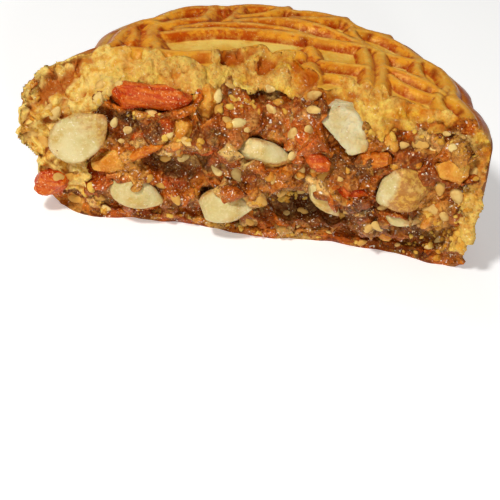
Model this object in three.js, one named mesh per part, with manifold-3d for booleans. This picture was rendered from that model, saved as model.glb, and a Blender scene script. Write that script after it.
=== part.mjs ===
// Half of a baked mooncake with a mixed-nut filling, broken open by hand.
//
// Millimetres, +Z up. The cake's own axis is the Z axis and its underside lies on Z = 0. The broken
// face looks along -Y, and the fluted back of the cake is towards +Y. The pastry is a shell all round
// the filling: moulded relief on top, lobed side wall, flat underside. The filling is a second solid
// that runs through the shell, with whole kernels, candied strips and chopped nuts set in its face.

import * as THREE from 'three';
import { mergeVertices } from 'three/addons/utils/BufferGeometryUtils.js';
import Module from 'manifold-3d';

const wasm = await Module();
wasm.setup();

// ---- Driving dimensions ----

const LOBES = 15; // round the whole cake
const NOTCH_ANGLE = THREE.MathUtils.degToRad(113); // one valley between two lobes
const OUTER_RADIUS = 43.2;
const FLUTE_DEPTH = 1.9;
const TOP_RADIUS = 39.8; // where the moulded top turns into the shoulder
const TOP_Z = 31.3; // floor of the relief at the shoulder
const DOME = 1.2; // extra height of that floor at the middle
const STRAND_HEIGHT = 1.8; // of the raised lines of the relief
const FACE_Y = -3; // mean plane of the broken face
const CAVITY = { x: 1.8, radius: 36.9, low: 2.3, high: 29.1, corner: 7 }; // inside of the pastry
const FLAP = { x: 21, reach: 5, drop: 2.4 }; // where the pastry hangs lower over the filling
const GAP = 0.35; // between one solid and the next

// Side profile over the lobes' crests, from the underside to the shoulder: radius, height.
const SIDE_PROFILE = [
  [39.6, 0],
  [41.2, 0.3],
  [42.2, 1.8],
  [41.9, 3.4],
  [42.6, 6.5],
  [OUTER_RADIUS, 14],
  [43.1, 22],
  [42.7, 27.8],
  [41.6, 30.1],
  [TOP_RADIUS, TOP_Z],
];

// Raised strands of the moulded top, each a flat arc: start x, y, end x, y, bow to the left, width.
const STRANDS = [
  // long leaves lying across the panel
  [-25, 17.8, 3, 24.4, 1.8, 2.8],
  [3, 24.4, 16.4, 24, 0.2, 2.6],
  [-22.5, 20.4, 4, 25, 3.6, 2.4],
  [-11, 27.4, 14.8, 25.2, 4.6, 2.8],
  [-24.2, 9.8, -10, 13.4, -0.9, 2.6],
  [-10, 13.4, -4.8, 17, 0.4, 2.6],
  [-4.8, 17, -3.4, 13.4, 0.4, 2.2],
  [-22.8, 5.6, -16, 4.6, 2.4, 2.4],
  // petals round the rim, from the left
  [-44, 3, -37.6, 5.6, 0.5, 2.6],
  [-37, 3, -31.6, 9.2, 0.8, 2.6],
  [-32, 8.4, -26.4, 9, 0.8, 2.6],
  [-31.4, 19, -30.8, 13.4, 0.5, 2.6],
  [-31, 19.4, -27.4, 21.6, 0.8, 2.4],
  [-26.8, 21.4, -25.8, 12.6, -1, 4],
  [-25.6, 12.4, -24.6, 3, 0.3, 2.8],
  [-25.8, 21, -17.4, 26.4, 0.6, 2.8],
  [-17.4, 26.4, -15.6, 32.6, 0.3, 3.2],
  [-12.6, 27.4, -10.4, 34, 0, 2.6],
  [-10.6, 29.8, -0.6, 37.4, -0.6, 2.6],
  [0.4, 32.2, 11.6, 36, -0.5, 2.6],
  [11.6, 35.8, 13.2, 30, 0.4, 2.2],
  [12.8, 30.8, 21, 31.8, 0.4, 2.2],
  [13, 30.4, 27.2, 21.8, -3.2, 2.6],
  [27, 22, 30, 12, -1.4, 2.4],
  [31.2, 19.6, 32.4, 11.4, 0.8, 2.4],
  [20.4, 16.2, 32, 10, 0.9, 2.4],
  [21.4, 13, 31.4, 8.4, -1.6, 2.2],
  [30.8, 9, 34.6, 0.6, -0.8, 2.4],
  [33.4, 9, 37.8, 1.6, 0.6, 2.4],
  [20.4, 5, 30.4, 2.6, 0.6, 2.4],
  // double bar at the right of the panel
  [15.8, 22.6, 16.8, 8, 0.5, 2.6],
  [19.2, 22.6, 19.4, 7, 0.4, 2.8],
  // flower and its stem
  [7.6, 15, 16, 15.2, 0.3, 2.6],
  [9.4, 9.8, 13.2, 3.6, 3, 2.2],
  [5, 20, 6.2, 16.6, 0, 3],
  [-0.8, 16, 3, 17, 0.3, 2.8],
  [1.2, 13.4, 3, 9, 0, 3.2],
  [5.4, 13.2, 6.4, 9.4, 0, 3.2],
];

const SCALLOP = { radius: 35.5, bow: 2.3, width: 2.6 }; // strands round the rim

// ---- Small helpers ----

const clamp01 = (t) => Math.min(1, Math.max(0, t));
const smooth = (low, high, value) => {
  const t = clamp01((value - low) / (high - low));
  return t * t * (3 - 2 * t);
};

// Moves every vertex of a geometry to a new place.
function reshape(geometry, move) {
  const position = geometry.attributes.position;
  const point = new THREE.Vector3();
  for (let i = 0; i < position.count; i++) {
    move(point.fromBufferAttribute(position, i));
    position.setXYZ(i, point.x, point.y, point.z);
  }
  return geometry;
}

// A closed three.js geometry as an exact solid.
function solid(geometry) {
  geometry.deleteAttribute('normal');
  geometry.deleteAttribute('uv');
  const merged = mergeVertices(geometry, 1e-3);
  const corners = merged.index.array;
  const triVerts = [];
  for (let i = 0; i < corners.length; i += 3) {
    const [a, b, c] = corners.slice(i, i + 3);
    if (a !== b && b !== c && a !== c) triVerts.push(a, b, c);
  }
  const vertProperties = merged.attributes.position.array;
  return new wasm.Manifold(
    new wasm.Mesh({ numProp: 3, vertProperties, triVerts: new Uint32Array(triVerts) }),
  );
}

function geometryOf(shape) {
  const mesh = shape.getMesh();
  return new THREE.BufferGeometry()
    .setAttribute('position', new THREE.BufferAttribute(mesh.vertProperties, 3))
    .setIndex(new THREE.BufferAttribute(mesh.triVerts, 1));
}

// The largest piece of a solid, so that no loose scrap is left by a cut.
const largest = (shape) => shape.decompose().sort((a, b) => b.volume() - a.volume())[0];

// ---- The outside of the cake ----

// 0 on a lobe's crest, 1 in the valley between two lobes.
function valley(angle) {
  const step = (2 * Math.PI) / LOBES;
  const turn = (angle - NOTCH_ANGLE) / step;
  const fromCrest = Math.abs(turn - Math.floor(turn) - 0.5) * 2;
  return fromCrest ** 2.2;
}

// The pastry is pushed outwards at the left, where the break ends, most of all above mid-height.
function splay(point) {
  const share = smooth(12, -4, point.y) * smooth(-16, -41, point.x);
  point.x -= share * (4.4 * smooth(0, 5, point.z) + 4 * smooth(11, 17, point.z));
}

// A scallop of strand along the rim of every lobe.
function scallops() {
  const step = (2 * Math.PI) / LOBES;
  const { radius, bow, width } = SCALLOP;
  return Array.from({ length: 8 }, (_, i) => {
    const [from, to] = [NOTCH_ANGLE + (i - 5) * step, NOTCH_ANGLE + (i - 4) * step];
    const ends = [to, from].map((angle) => [radius * Math.cos(angle), radius * Math.sin(angle)]);
    return [...ends.flat(), bow, width];
  });
}

// Gentle unevenness of the baked top.
const sag = (x, y) => 0.25 * Math.sin(0.17 * x + 0.6) * Math.cos(0.21 * y);

const floorZ = (x, y) => TOP_Z + DOME * (1 - (x * x + y * y) / TOP_RADIUS ** 2) + sag(x, y);

// The body without its strands: a lathe drawn in at every valley.
function lobedBody() {
  const rings = [36.5, 32, 24, 13, 0].map((r) => [r, floorZ(r, 0)]);
  const profile = [[0, 0], ...SIDE_PROFILE, ...rings].map(([r, z]) => new THREE.Vector2(r, z));
  const lathe = new THREE.LatheGeometry(profile, LOBES * 6).rotateX(Math.PI / 2);
  lathe.rotateZ(NOTCH_ANGLE + Math.PI / 2); // its first column stands in a valley
  const lobed = reshape(lathe, (point) => {
    const r = Math.hypot(point.x, point.y);
    const inward = 1 - (FLUTE_DEPTH * valley(Math.atan2(point.y, point.x)) * r ** 3) / OUTER_RADIUS ** 4;
    if (point.z >= TOP_Z) point.z += sag(point.x, point.y) - sag(r, 0);
    point.x *= inward;
    point.y *= inward;
    splay(point);
  });
  return solid(lobed);
}

// One strand: a rounded ridge that follows its arc, with a blunt end sunk in the floor.
function strand([x0, y0, x1, y1, bow, width]) {
  const length = Math.hypot(x1 - x0, y1 - y0);
  const steps = Math.max(4, 2 + Math.round(length / 3.8));
  const blunt = 0.7 / length;
  const ridge = reshape(new THREE.SphereGeometry(1, 6, steps).rotateZ(Math.PI / 2), (point) => {
    const ring = Math.round((Math.acos(-point.x) / Math.PI) * steps);
    const isTip = ring === 0 || ring === steps;
    const along = isTip ? ring / steps : blunt + ((ring - 1) / (steps - 2)) * (1 - 2 * blunt);
    const t = along * 2 - 1;
    const across = bow * (1 - t * t);
    const x = x0 + (x1 - x0) * along - ((y1 - y0) / length) * across;
    const y = y0 + (y1 - y0) * along + ((x1 - x0) / length) * across;
    const heading = Math.atan2(y1 - y0, x1 - x0) - Math.atan((4 * bow * t) / length);
    const angle = Math.atan2(point.z, point.y);
    const side = isTip ? 0 : (width * Math.cos(angle)) / 2;
    const up = isTip ? 0.4 : Math.max(STRAND_HEIGHT * Math.sin(angle), -0.6);
    point.set(x - Math.sin(heading) * side, y + Math.cos(heading) * side, floorZ(x, y) + up);
  });
  return solid(ridge);
}

function outside() {
  const raised = [...STRANDS, ...scallops()].map(strand);
  return raised.reduce((body, ridge) => body.add(ridge), lobedBody());
}

// ---- The broken face ----

// How far back the top is torn: x, and y of the torn edge at the height of the relief.
const TORN_BACK = [[-60, 7], [-36, 8], [-17, 7.5], [-8, 15], [1, 15], [7, 8.5], [22, 6.5], [34, 2], [60, -3]];
const TORN_FROM = 22; // the break is upright below this height
const TORN_TOP = 33;

// Where the break meets the underside: x, and y of its foot.
const FOOT = [
  [-60, 1.2], [-46, 1.2], [-33, -2.3], [-25, -0.9], [-15, 0.3], [0, -0.9], [15, 1], [25, 1], [35, -0.9], [60, -1.8],
];
const FOOT_FROM = 6; // the break starts to turn towards its foot below this height

// The second number of a list of pairs, smoothly in between.
function between(pairs, x) {
  const next = pairs.findIndex(([px], i) => i > 0 && x <= px);
  const [x0, y0] = pairs[next - 1];
  const [x1, y1] = pairs[next];
  return y0 + (y1 - y0) * smooth(x0, x1, x);
}

// Hollows (minus) and mounds (plus) of the torn filling: x, z, half width, half height, forward.
const LUMPS = [
  [10, 8.6, 8.5, 3.2, -4.4],
  [-20, 14.6, 6, 4, -2.4],
  [-27, 22.4, 5, 2.6, -1.6],
  [30.5, 6.4, 5, 2.6, -1.6],
  [14, 22, 4, 3, -1],
  [2.6, 14.6, 6.4, 3, 2],
  [-12, 23, 5, 3, 1.2],
  [21, 11, 3.4, 4.4, 1.4],
  [33, 13, 3, 6, 1],
  [-15.5, 8, 3, 3, 1],
];

// Broad waves of the break, the same everywhere they are needed.
const waves = (x, z) =>
  0.5 * Math.sin(0.33 * x + 0.21 * z + 1.1) * Math.cos(0.41 * z - 0.12 * x) +
  0.35 * Math.sin(0.79 * x - 0.52 * z + 2.3) +
  0.25 * Math.sin(1.37 * x + 1.13 * z);

// The break runs straight up through the filling, then leans back through the pastry of the top.
// Below, it runs out to the foot.
function breakY(x, z) {
  const low = smooth(FOOT_FROM, 1, z);
  const rise = Math.max(0, z - TORN_FROM) / (TORN_TOP - TORN_FROM);
  const foot = (between(FOOT, x) - FACE_Y) * low;
  const lean = (between(TORN_BACK, x) - FACE_Y) * rise ** 1.5;
  return FACE_Y + waves(x, z) * (1 - 0.7 * low) + foot + lean;
}

// Pastry breaks in crags; the filling stands a little behind it and is lumpy.
const crags = (x, z) =>
  0.45 * Math.sin(2.1 * x + 0.7 * z) * Math.sin(1.9 * z - 0.6 * x + 1) + 0.3 * Math.sin(2.9 * x - 1.7 * z);
const pastryY = (x, z) => breakY(x, z) + crags(x, z);
function fillingY(x, z) {
  let y = breakY(x, z) + 0.9 + 0.4 * Math.sin(1.3 * x + 0.4) * Math.sin(1.1 * z + 0.9);
  for (const [px, pz, rx, rz, forward] of LUMPS) {
    y -= forward * Math.exp(-(((x - px) / rx) ** 2) - ((z - pz) / rz) ** 2);
  }
  return y;
}

// Everything behind a broken surface: a block whose front is moved onto it.
function behind(surfaceY, cell) {
  const [width, depth, height] = [100, 60, 42];
  const block = new THREE.BoxGeometry(
    width,
    depth,
    height,
    Math.round(width / cell),
    1,
    Math.round(height / cell),
  ).translate(0, depth / 2, height / 2 - 3);
  return solid(
    reshape(block, (point) => {
      if (point.y < 1e-6) point.y = surfaceY(point.x, point.z);
    }),
  );
}

// The room inside the pastry, drawn in by an inset: a round drum with soft corners. Its ceiling hangs
// lower under the flap of pastry at the right.
function drum(inset) {
  const { x, low, high } = CAVITY;
  const radius = CAVITY.radius - inset;
  const corner = CAVITY.corner - inset;
  const profile = [new THREE.Vector2(0, low + inset)];
  const steps = 3;
  for (let i = 0; i <= steps; i++) {
    const angle = (Math.PI / 2) * (i / steps);
    const r = radius - corner + corner * Math.sin(angle);
    profile.push(new THREE.Vector2(r, low + inset + corner * (1 - Math.cos(angle))));
  }
  for (let i = 0; i <= steps; i++) {
    const angle = (Math.PI / 2) * (i / steps);
    const r = radius - corner + corner * Math.cos(angle);
    profile.push(new THREE.Vector2(r, high - inset - corner * (1 - Math.sin(angle))));
  }
  for (const r of [23, 14, 0]) profile.push(new THREE.Vector2(r, high - inset));
  const turned = new THREE.LatheGeometry(profile, 36).rotateX(Math.PI / 2).translate(x, 0, 0);
  return solid(
    reshape(turned, (point) => {
      const share = Math.exp(-(((point.x - FLAP.x) / FLAP.reach) ** 2));
      point.z -= FLAP.drop * share * smooth((low + high) / 2, high, point.z);
    }),
  );
}

// ---- What is set in the filling ----

// A ball drawn out along X; girth(t) is its thickness from -1 to 1, as a share of a round one's.
function pod(length, width, thickness, girth, rings, sides) {
  const ball = new THREE.SphereGeometry(1, sides, rings).rotateZ(Math.PI / 2);
  return solid(
    reshape(ball, (point) => {
      const share = girth(Math.min(1, Math.max(-1, point.x)));
      point.x *= length / 2;
      point.y *= (share * thickness) / 2;
      point.z *= (share * width) / 2;
    }),
  );
}

// A flat kernel, round at one end and more pointed at the other.
const kernel = (length, width, thickness) => pod(length, width, thickness, (t) => 1 - 0.2 * t, 7, 10);

// A candied strip or a chopped nut, blunt at both ends.
const chunk = (length, width, thickness) =>
  pod(length, width, thickness, (t) => Math.min(1.25, 1 / Math.sqrt(1.0001 - t * t)), 6, 8);

// Each piece: name, maker, size, centre x, z, how far its middle stands in front of the filling,
// turn in the plane of the face and tip about its own length, colour.
const IVORY = 0xe3cd84;
const AMBER = 0xc98a3a;
const CANDIED_RED = 0xb8401c;
const ORANGE = 0xcc6a20;
const PIECES = [
  ['kernel_left', kernel, [14.2, 9.6, 4], -37.4, 19.4, 1.2, 48, 0, IVORY],
  ['kernel_low_left', kernel, [11.4, 6.4, 4.2], -25.4, 7.6, 0.6, -14, -24, IVORY],
  ['kernel_low_middle', kernel, [11, 7, 4.4], -7.4, 8, 0.7, 8, -26, IVORY],
  ['kernel_middle', kernel, [12, 5.6, 4.6], -1, 20.8, 0.5, -8, 38, IVORY],
  ['kernel_right', kernel, [10.6, 9, 4.4], 26.4, 17.4, 0.9, 214, 10, IVORY],
  ['kernel_under', kernel, [7.4, 2.8, 3], 28.2, 10.7, 0.6, 4, 0, IVORY],
  ['kernel_buried', kernel, [9.4, 4, 3.4], 12, 12.2, 0.3, -42, 0, IVORY],
  ['melon_cube', chunk, [10.2, 8.2, 6], 13, 27.6, 0.6, -62, 0, 0xe6dcb4],
  ['red_strip', chunk, [17.6, 5.6, 4], -24.2, 27, 0.4, 6, 30, CANDIED_RED],
  ['red_corner', chunk, [7, 5.6, 4.4], -43, 7, 0.9, 66, 0, CANDIED_RED],
  ['red_middle', chunk, [6.8, 3.2, 3], 8.9, 21.7, 0.3, -40, 0, CANDIED_RED],
  ['red_right', chunk, [8.2, 3.2, 3], 17.3, 15, 0.5, -14, 0, CANDIED_RED],
  ['orange_strip', chunk, [8.8, 1.6, 1.8], -24.6, 17.6, 0.9, 36, 0, ORANGE],
  ['orange_fruit', chunk, [7.4, 3, 3], 20.6, 23, 0.4, 10, 0, ORANGE],
  ['amber_nut_top', chunk, [7, 4.4, 4], -13.6, 27.6, 0.5, 78, 0, AMBER],
  ['amber_nut_middle', chunk, [6.6, 4.8, 3.8], -18, 22.6, 0.2, 72, 0, AMBER],
  ['amber_nut_left', kernel, [7.4, 4.6, 4], -31.4, 13.4, 0.3, 30, 0, AMBER],
  ['nut_right', kernel, [7, 4.4, 4], 35.4, 24, 0.6, -8, 0, 0xba8040],
];

function placed(shape, x, z, proud, turn, tip) {
  const y = fillingY(x, z) - proud;
  return shape.rotate([tip, 0, 0]).rotate([0, -turn, 0]).translate([x, y, z]);
}

// Seeds scattered over the filling's face, clear of the larger pieces and of the pastry.
const SEED = { count: 34, length: 3.2, width: 1.9, thickness: 1.3, apart: 3.1, margin: 1.6 };

function randomFrom(seed) {
  let state = seed;
  return () => {
    state = (state * 1664525 + 1013904223) % 4294967296;
    return state / 4294967296;
  };
}

function seedPlaces() {
  const random = randomFrom(7);
  const places = [];
  const inRoom = (x, z) => {
    const across = CAVITY.radius - SEED.margin - 1.5 - Math.abs(x - CAVITY.x);
    const up = Math.min(z - CAVITY.low, CAVITY.high - z) - SEED.margin;
    if (across < 0 || up < 0) return false;
    const inCorner = CAVITY.corner - SEED.margin;
    return across > inCorner || up > inCorner || Math.hypot(inCorner - across, inCorner - up) < inCorner;
  };
  const clearOfPieces = (x, z) =>
    PIECES.every(([, , [length, width], px, pz, , turn]) => {
      const angle = THREE.MathUtils.degToRad(turn);
      const along = (x - px) * Math.cos(angle) + (z - pz) * Math.sin(angle);
      const across = (z - pz) * Math.cos(angle) - (x - px) * Math.sin(angle);
      const clearance = SEED.length / 2 + 0.8;
      return Math.hypot(along / (length / 2 + clearance), across / (width / 2 + clearance)) > 1;
    });
  for (let tries = 0; tries < 4000 && places.length < SEED.count; tries++) {
    const x = (random() - 0.5) * 2 * CAVITY.radius + CAVITY.x;
    const z = CAVITY.low + random() * (CAVITY.high - CAVITY.low);
    const turn = random() * 180;
    const apart = places.every((p) => Math.hypot(p.x - x, p.z - z) > SEED.apart);
    if (inRoom(x, z) && clearOfPieces(x, z) && apart) places.push({ x, z, turn });
  }
  return places;
}

function sesameSeed() {
  return solid(new THREE.IcosahedronGeometry(1, 0)).scale([
    SEED.length / 2,
    SEED.thickness / 2,
    SEED.width / 2,
  ]);
}

// ---- The cake ----

const PASTRY_CELL = 2.85;
const FILLING_CELL = 2.9;

const setIn = PIECES.map(([name, make, size, x, z, proud, turn, tip, colour]) => {
  const socketSize = size.map((side) => side + 2 * GAP);
  return {
    name,
    colour,
    shape: placed(make(...size), x, z, proud, turn, tip),
    socket: placed(make(...socketSize), x, z, proud, turn, tip),
  };
});
const sockets = setIn.map((piece) => piece.socket);
const carve = (shape) => sockets.reduce((left, socket) => left.subtract(socket), shape);

const pastry = largest(carve(outside().intersect(behind(pastryY, PASTRY_CELL)).subtract(drum(0))));

let core = carve(drum(GAP).intersect(behind(fillingY, FILLING_CELL)));
for (const { x, z, turn } of seedPlaces()) core = core.add(placed(sesameSeed(), x, z, 0.25, turn, 0));
const filling = largest(core);

function piece(name, shape, colour, roughness) {
  const material = new THREE.MeshStandardMaterial({ color: colour, roughness, metalness: 0 });
  const mesh = new THREE.Mesh(geometryOf(shape), material);
  mesh.name = name;
  return mesh;
}

const cake = new THREE.Group();
cake.name = 'half_mooncake';
cake.add(piece('pastry', pastry, 0xc8792a, 0.45));
cake.add(piece('filling', filling, 0x7a3f1c, 0.35));
for (const { name, shape, colour } of setIn) cake.add(piece(name, shape, colour, 0.4));

export default cake;
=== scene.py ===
"""Half of a baked mooncake, broken open by hand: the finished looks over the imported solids.

Everything is worked out in millimetres in the part's own frame (+Z up, -Y out of the broken face)
and turned into metres where a mesh is made.
"""

import itertools
import math

import bmesh
import bpy
import numpy as np
from mathutils import Euler, Matrix, Vector
from mathutils.bvhtree import BVHTree


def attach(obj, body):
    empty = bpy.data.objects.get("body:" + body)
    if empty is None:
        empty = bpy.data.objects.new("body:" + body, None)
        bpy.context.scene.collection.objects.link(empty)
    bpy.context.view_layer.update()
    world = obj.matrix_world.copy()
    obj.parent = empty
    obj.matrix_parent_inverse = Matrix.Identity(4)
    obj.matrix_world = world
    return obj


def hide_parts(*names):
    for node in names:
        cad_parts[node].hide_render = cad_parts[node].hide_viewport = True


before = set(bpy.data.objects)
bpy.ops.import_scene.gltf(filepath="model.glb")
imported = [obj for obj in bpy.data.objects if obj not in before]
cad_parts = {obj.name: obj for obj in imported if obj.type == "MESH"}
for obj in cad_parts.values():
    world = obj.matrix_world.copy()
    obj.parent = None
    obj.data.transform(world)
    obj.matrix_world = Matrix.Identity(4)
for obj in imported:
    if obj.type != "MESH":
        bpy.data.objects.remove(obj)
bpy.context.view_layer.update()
MM = 0.001

# ------------------------------------------------------------------------------------ sizes

LOBES = 15
NOTCH_ANGLE = math.radians(113)
OUTER_RADIUS = 43.2
FLUTE_DEPTH = 1.9
TOP_RADIUS = 39.8
TOP_Z = 31.3
DOME = 1.2
STRAND_HEIGHT = 1.8
FACE_Y = -3.0
CAVITY = {"x": 1.8, "radius": 36.9, "low": 2.3, "high": 29.1, "corner": 7.0}
FLAP = {"x": 21.0, "reach": 5.0, "drop": 2.4}

# Above this height the outside counts as the moulded top; this far back is behind the whole cake.
RELIEF_FROM = TOP_Z - 1.5
BEHIND_ALL = 60

# How far the crumbly left end is drawn in.
DRAWN_IN = 1.1

# Fineness of the meshes: cells across the top, rows down the wall, steps of the broken surfaces.
TOP_CELLS = 236
WALL_ROWS = 46
TORN_STEP = 0.29
FILLING_STEP = 0.21

# Seeds and nut bits: how many in all, how often a place is drawn for them, how far apart those lie
# that have no place of their own, and the part of the face over which they are drawn.
SEED_COUNT, SEED_TRIES, SEED_GAP = 74, 420, 2.3
BIT_COUNT, BIT_TRIES, BIT_GAP = 16, 700, 4
STREWN_X, STREWN_Z = (-34, 38), (3, 33)

# How low a seed and a crumb can lie.
SEED_FLOOR, CRUMB_FLOOR = 1.2, 1

# The wall from the foot up: radius and height.
SIDE_PROFILE = [
    (39.6, 0), (41.2, 0.3), (42.2, 1.8), (41.9, 3.4), (42.6, 6.5),
    (OUTER_RADIUS, 14), (43.1, 22), (42.7, 27.8), (41.6, 30.1), (TOP_RADIUS, TOP_Z),
]

# Raised strands of the moulded top: start x, y, end x, y, bow to the left, width.
STRANDS = [
    # long leaves lying across the panel
    (-25, 17.8, 3, 24.4, 1.8, 2.8),
    (3, 24.4, 16.4, 24, 0.2, 2.6),
    (-22.5, 20.4, 4, 25, 3.6, 2.4),
    (-11, 27.4, 14.8, 25.2, 4.6, 2.8),
    (-24.2, 9.8, -10, 13.4, -0.9, 2.6),
    (-10, 13.4, -4.8, 17, 0.4, 2.6),
    (-4.8, 17, -3.4, 13.4, 0.4, 2.2),
    (-22.8, 5.6, -16, 4.6, 2.4, 2.4),
    # petals round the rim, from the left
    (-44, 3, -37.6, 5.6, 0.5, 2.6),
    (-37, 3, -31.6, 9.2, 0.8, 2.6),
    (-32, 8.4, -26.4, 9, 0.8, 2.6),
    (-31.4, 19, -30.8, 13.4, 0.5, 2.6),
    (-31, 19.4, -27.4, 21.6, 0.8, 2.4),
    (-26.8, 21.4, -25.8, 12.6, -1, 4),
    (-25.6, 12.4, -24.6, 3, 0.3, 2.8),
    (-25.8, 21, -17.4, 26.4, 0.6, 2.8),
    (-17.4, 26.4, -15.6, 32.6, 0.3, 3.2),
    (-12.6, 27.4, -10.4, 34, 0, 2.6),
    (-10.6, 29.8, -0.6, 37.4, -0.6, 2.6),
    (0.4, 32.2, 11.6, 36, -0.5, 2.6),
    (11.6, 35.8, 13.2, 30, 0.4, 2.2),
    (12.8, 30.8, 21, 31.8, 0.4, 2.2),
    (13, 30.4, 27.2, 21.8, -3.2, 2.6),
    (27, 22, 30, 12, -1.4, 2.4),
    (31.2, 19.6, 32.4, 11.4, 0.8, 2.4),
    (20.4, 16.2, 32, 10, 0.9, 2.4),
    (21.4, 13, 31.4, 8.4, -1.6, 2.2),
    (30.8, 9, 34.6, 0.6, -0.8, 2.4),
    (33.4, 9, 37.8, 1.6, 0.6, 2.4),
    (20.4, 5, 30.4, 2.6, 0.6, 2.4),
    # double bar at the right of the panel
    (15.8, 22.6, 16.8, 8, 0.5, 2.6),
    (19.2, 22.6, 19.4, 7, 0.4, 2.8),
    # flower and its stem
    (7.6, 15, 16, 15.2, 0.3, 2.6),
    (9.4, 9.8, 13.2, 3.6, 3, 2.2),
    (5, 20, 6.2, 16.6, 0, 3),
    (-0.8, 16, 3, 17, 0.3, 2.8),
    (1.2, 13.4, 3, 9, 0, 3.2),
    (5.4, 13.2, 6.4, 9.4, 0, 3.2),
]
SCALLOP = {"radius": 35.5, "bow": 2.3, "width": 2.6}

# How far back the top is torn: x, and y of the torn edge at the height of the relief.
TORN_BACK = [
    (-60, 7), (-36, 8), (-17, 7.5), (-8, 15), (1, 15), (7, 8.5), (22, 6.5), (34, 2), (60, -3),
]
TORN_FROM, TORN_TOP = 22.0, 33.0

# Where the break meets the underside: x, and y of its foot.
FOOT = [
    (-60, 1.2), (-46, 1.2), (-33, -2.3), (-25, -0.9), (-15, 0.3),
    (0, -0.9), (15, 1), (25, 1), (35, -0.9), (60, -1.8),
]
FOOT_FROM = 6.0

# Hollows (minus) and mounds (plus) of the torn filling: x, z, half width, half height, forward.
LUMPS = [
    (10, 8.6, 8.5, 3.2, -4.4),
    (-20, 14.6, 6, 4, -2.4),
    (-27, 22.4, 5, 2.6, -1.6),
    (30.5, 6.4, 5, 2.6, -1.6),
    (14, 22, 4, 3, -1),
    (2.6, 14.6, 6.4, 3, 2),
    (-12, 23, 5, 3, 1.2),
    (21, 11, 3.4, 4.4, 1.4),
    (33, 13, 3, 6, 1),
    (-15.5, 8, 3, 3, 1),
]

# What is set in the filling: node, length, width, thickness, x, z, how proud, turn, tip.
KERNELS = [
    ("kernel_left", 14.2, 9.6, 4.0, -37.4, 19.4, 1.2, 48, 0),
    ("kernel_low_left", 11.4, 6.4, 4.2, -25.4, 7.6, 0.6, -14, -24),
    ("kernel_low_middle", 11.0, 7.0, 4.4, -7.4, 8.0, 0.7, 8, -26),
    ("kernel_middle", 12.0, 5.6, 4.6, -1.0, 20.8, 0.5, -8, 38),
    ("kernel_right", 10.6, 9.0, 4.4, 26.4, 17.4, 0.9, 214, 10),
    ("kernel_under", 7.4, 2.8, 3.0, 28.2, 10.7, 0.6, 4, 0),
    ("kernel_buried", 9.4, 4.0, 3.4, 12.0, 12.2, 0.3, -42, 0),
]
MELON = ("melon_cube", 10.2, 8.2, 6.0, 13.0, 27.6, 0.6, -62, 0)
CANDIED = [
    ("red_strip", 18.8, 6.2, 4.4, -24.8, 28.0, 1.2, 6, 30),
    ("red_corner", 7.0, 5.6, 4.4, -43.0, 7.0, 0.9, 66, 0),
    ("red_middle", 6.8, 3.2, 3.0, 8.9, 21.7, 0.3, -40, 0),
    ("red_right", 8.2, 3.2, 3.0, 17.3, 15.0, 0.5, -14, 0),
]
ORANGE = [
    ("orange_strip", 8.8, 1.6, 1.8, -24.6, 17.6, 0.9, 36, 0),
    ("orange_fruit", 7.4, 3.0, 3.0, 20.6, 23.0, 0.4, 10, 0),
]
NUTS = [
    ("amber_nut_top", 7.0, 4.4, 4.0, -13.6, 27.6, 0.5, 78, 0),
    ("amber_nut_middle", 6.6, 4.8, 3.8, -18.0, 22.6, 0.2, 72, 0),
    ("amber_nut_left", 7.4, 4.6, 4.0, -31.4, 13.4, 0.3, 30, 0),
    ("nut_right", 7.0, 4.4, 4.0, 35.4, 24.0, 0.6, -8, 0),
]

# ------------------------------------------------------------------------------------ camera

# The lens in pixels of the frame; AIM is where the part's origin lies from the camera, before it is
# rolled: across, up and away.
FRAME_PX = 500
SENSOR_MM = 36
LENS_PX = 1600.0
TILT = math.radians(35.5)
ROLL = math.radians(8.5)
AIM = (1.2, -3.4, 327.0)
COS_TILT, SIN_TILT = math.cos(TILT), math.sin(TILT)


def set_camera():
    """A camera that is rolled, because the cake lies level."""
    data = bpy.data.cameras.new("camera")
    data.sensor_width = SENSOR_MM
    data.lens = SENSOR_MM * LENS_PX / FRAME_PX
    camera = bpy.data.objects.new("camera", data)
    bpy.context.scene.collection.objects.link(camera)
    cos_r, sin_r = math.cos(ROLL), math.sin(ROLL)
    right = Vector((cos_r, sin_r * SIN_TILT, sin_r * COS_TILT))
    up = Vector((-sin_r, cos_r * SIN_TILT, cos_r * COS_TILT))
    back = Vector((0, -COS_TILT, SIN_TILT))
    matrix = Matrix((right, up, back)).transposed().to_4x4()
    matrix.translation = Vector(camera_place()) * MM
    camera.matrix_world = matrix
    data.clip_start = 0.01
    data.clip_end = 20
    bpy.context.scene.camera = camera


def camera_place():
    """Where the camera stands, in millimetres."""
    across, up, away = AIM
    return (-across, -away * COS_TILT + up * SIN_TILT, away * SIN_TILT + up * COS_TILT)


set_camera()

# ------------------------------------------------------------------------------------ rough numbers


def smooth(low, high, value):
    """0 at low and 1 at high, smoothly in between."""
    t = np.clip((np.asarray(value, float) - low) / (high - low), 0, 1)
    return t * t * (3 - 2 * t)


def scramble(cell, salt):
    """A number from 0 to 1 for every whole-numbered cell, the same in each run."""
    x, y, z = (cell[:, i].astype(np.int64) for i in range(3))
    h = (x * 73856093) ^ (y * 19349663) ^ (z * 83492791) ^ (salt * 2654435761)
    h = ((h ^ (h >> 13)) * 1274126177) & 0xFFFFFFFF
    h = ((h ^ (h >> 15)) * 2246822519) & 0xFFFFFFFF
    return ((h ^ (h >> 16)) & 0xFFFFFF) / 0xFFFFFF


def swell(points, size, salt):
    """Soft waves from -1 to 1, about one size apart."""
    q = points / size
    base = np.floor(q)
    t = q - base
    t = t * t * (3 - 2 * t)
    total = np.zeros(len(points))
    for corner in itertools.product((0, 1), repeat=3):
        share = np.prod(np.where(np.array(corner) == 1, t, 1 - t), axis=1)
        total += share * scramble(base + corner, salt)
    return total * 2 - 1


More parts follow.
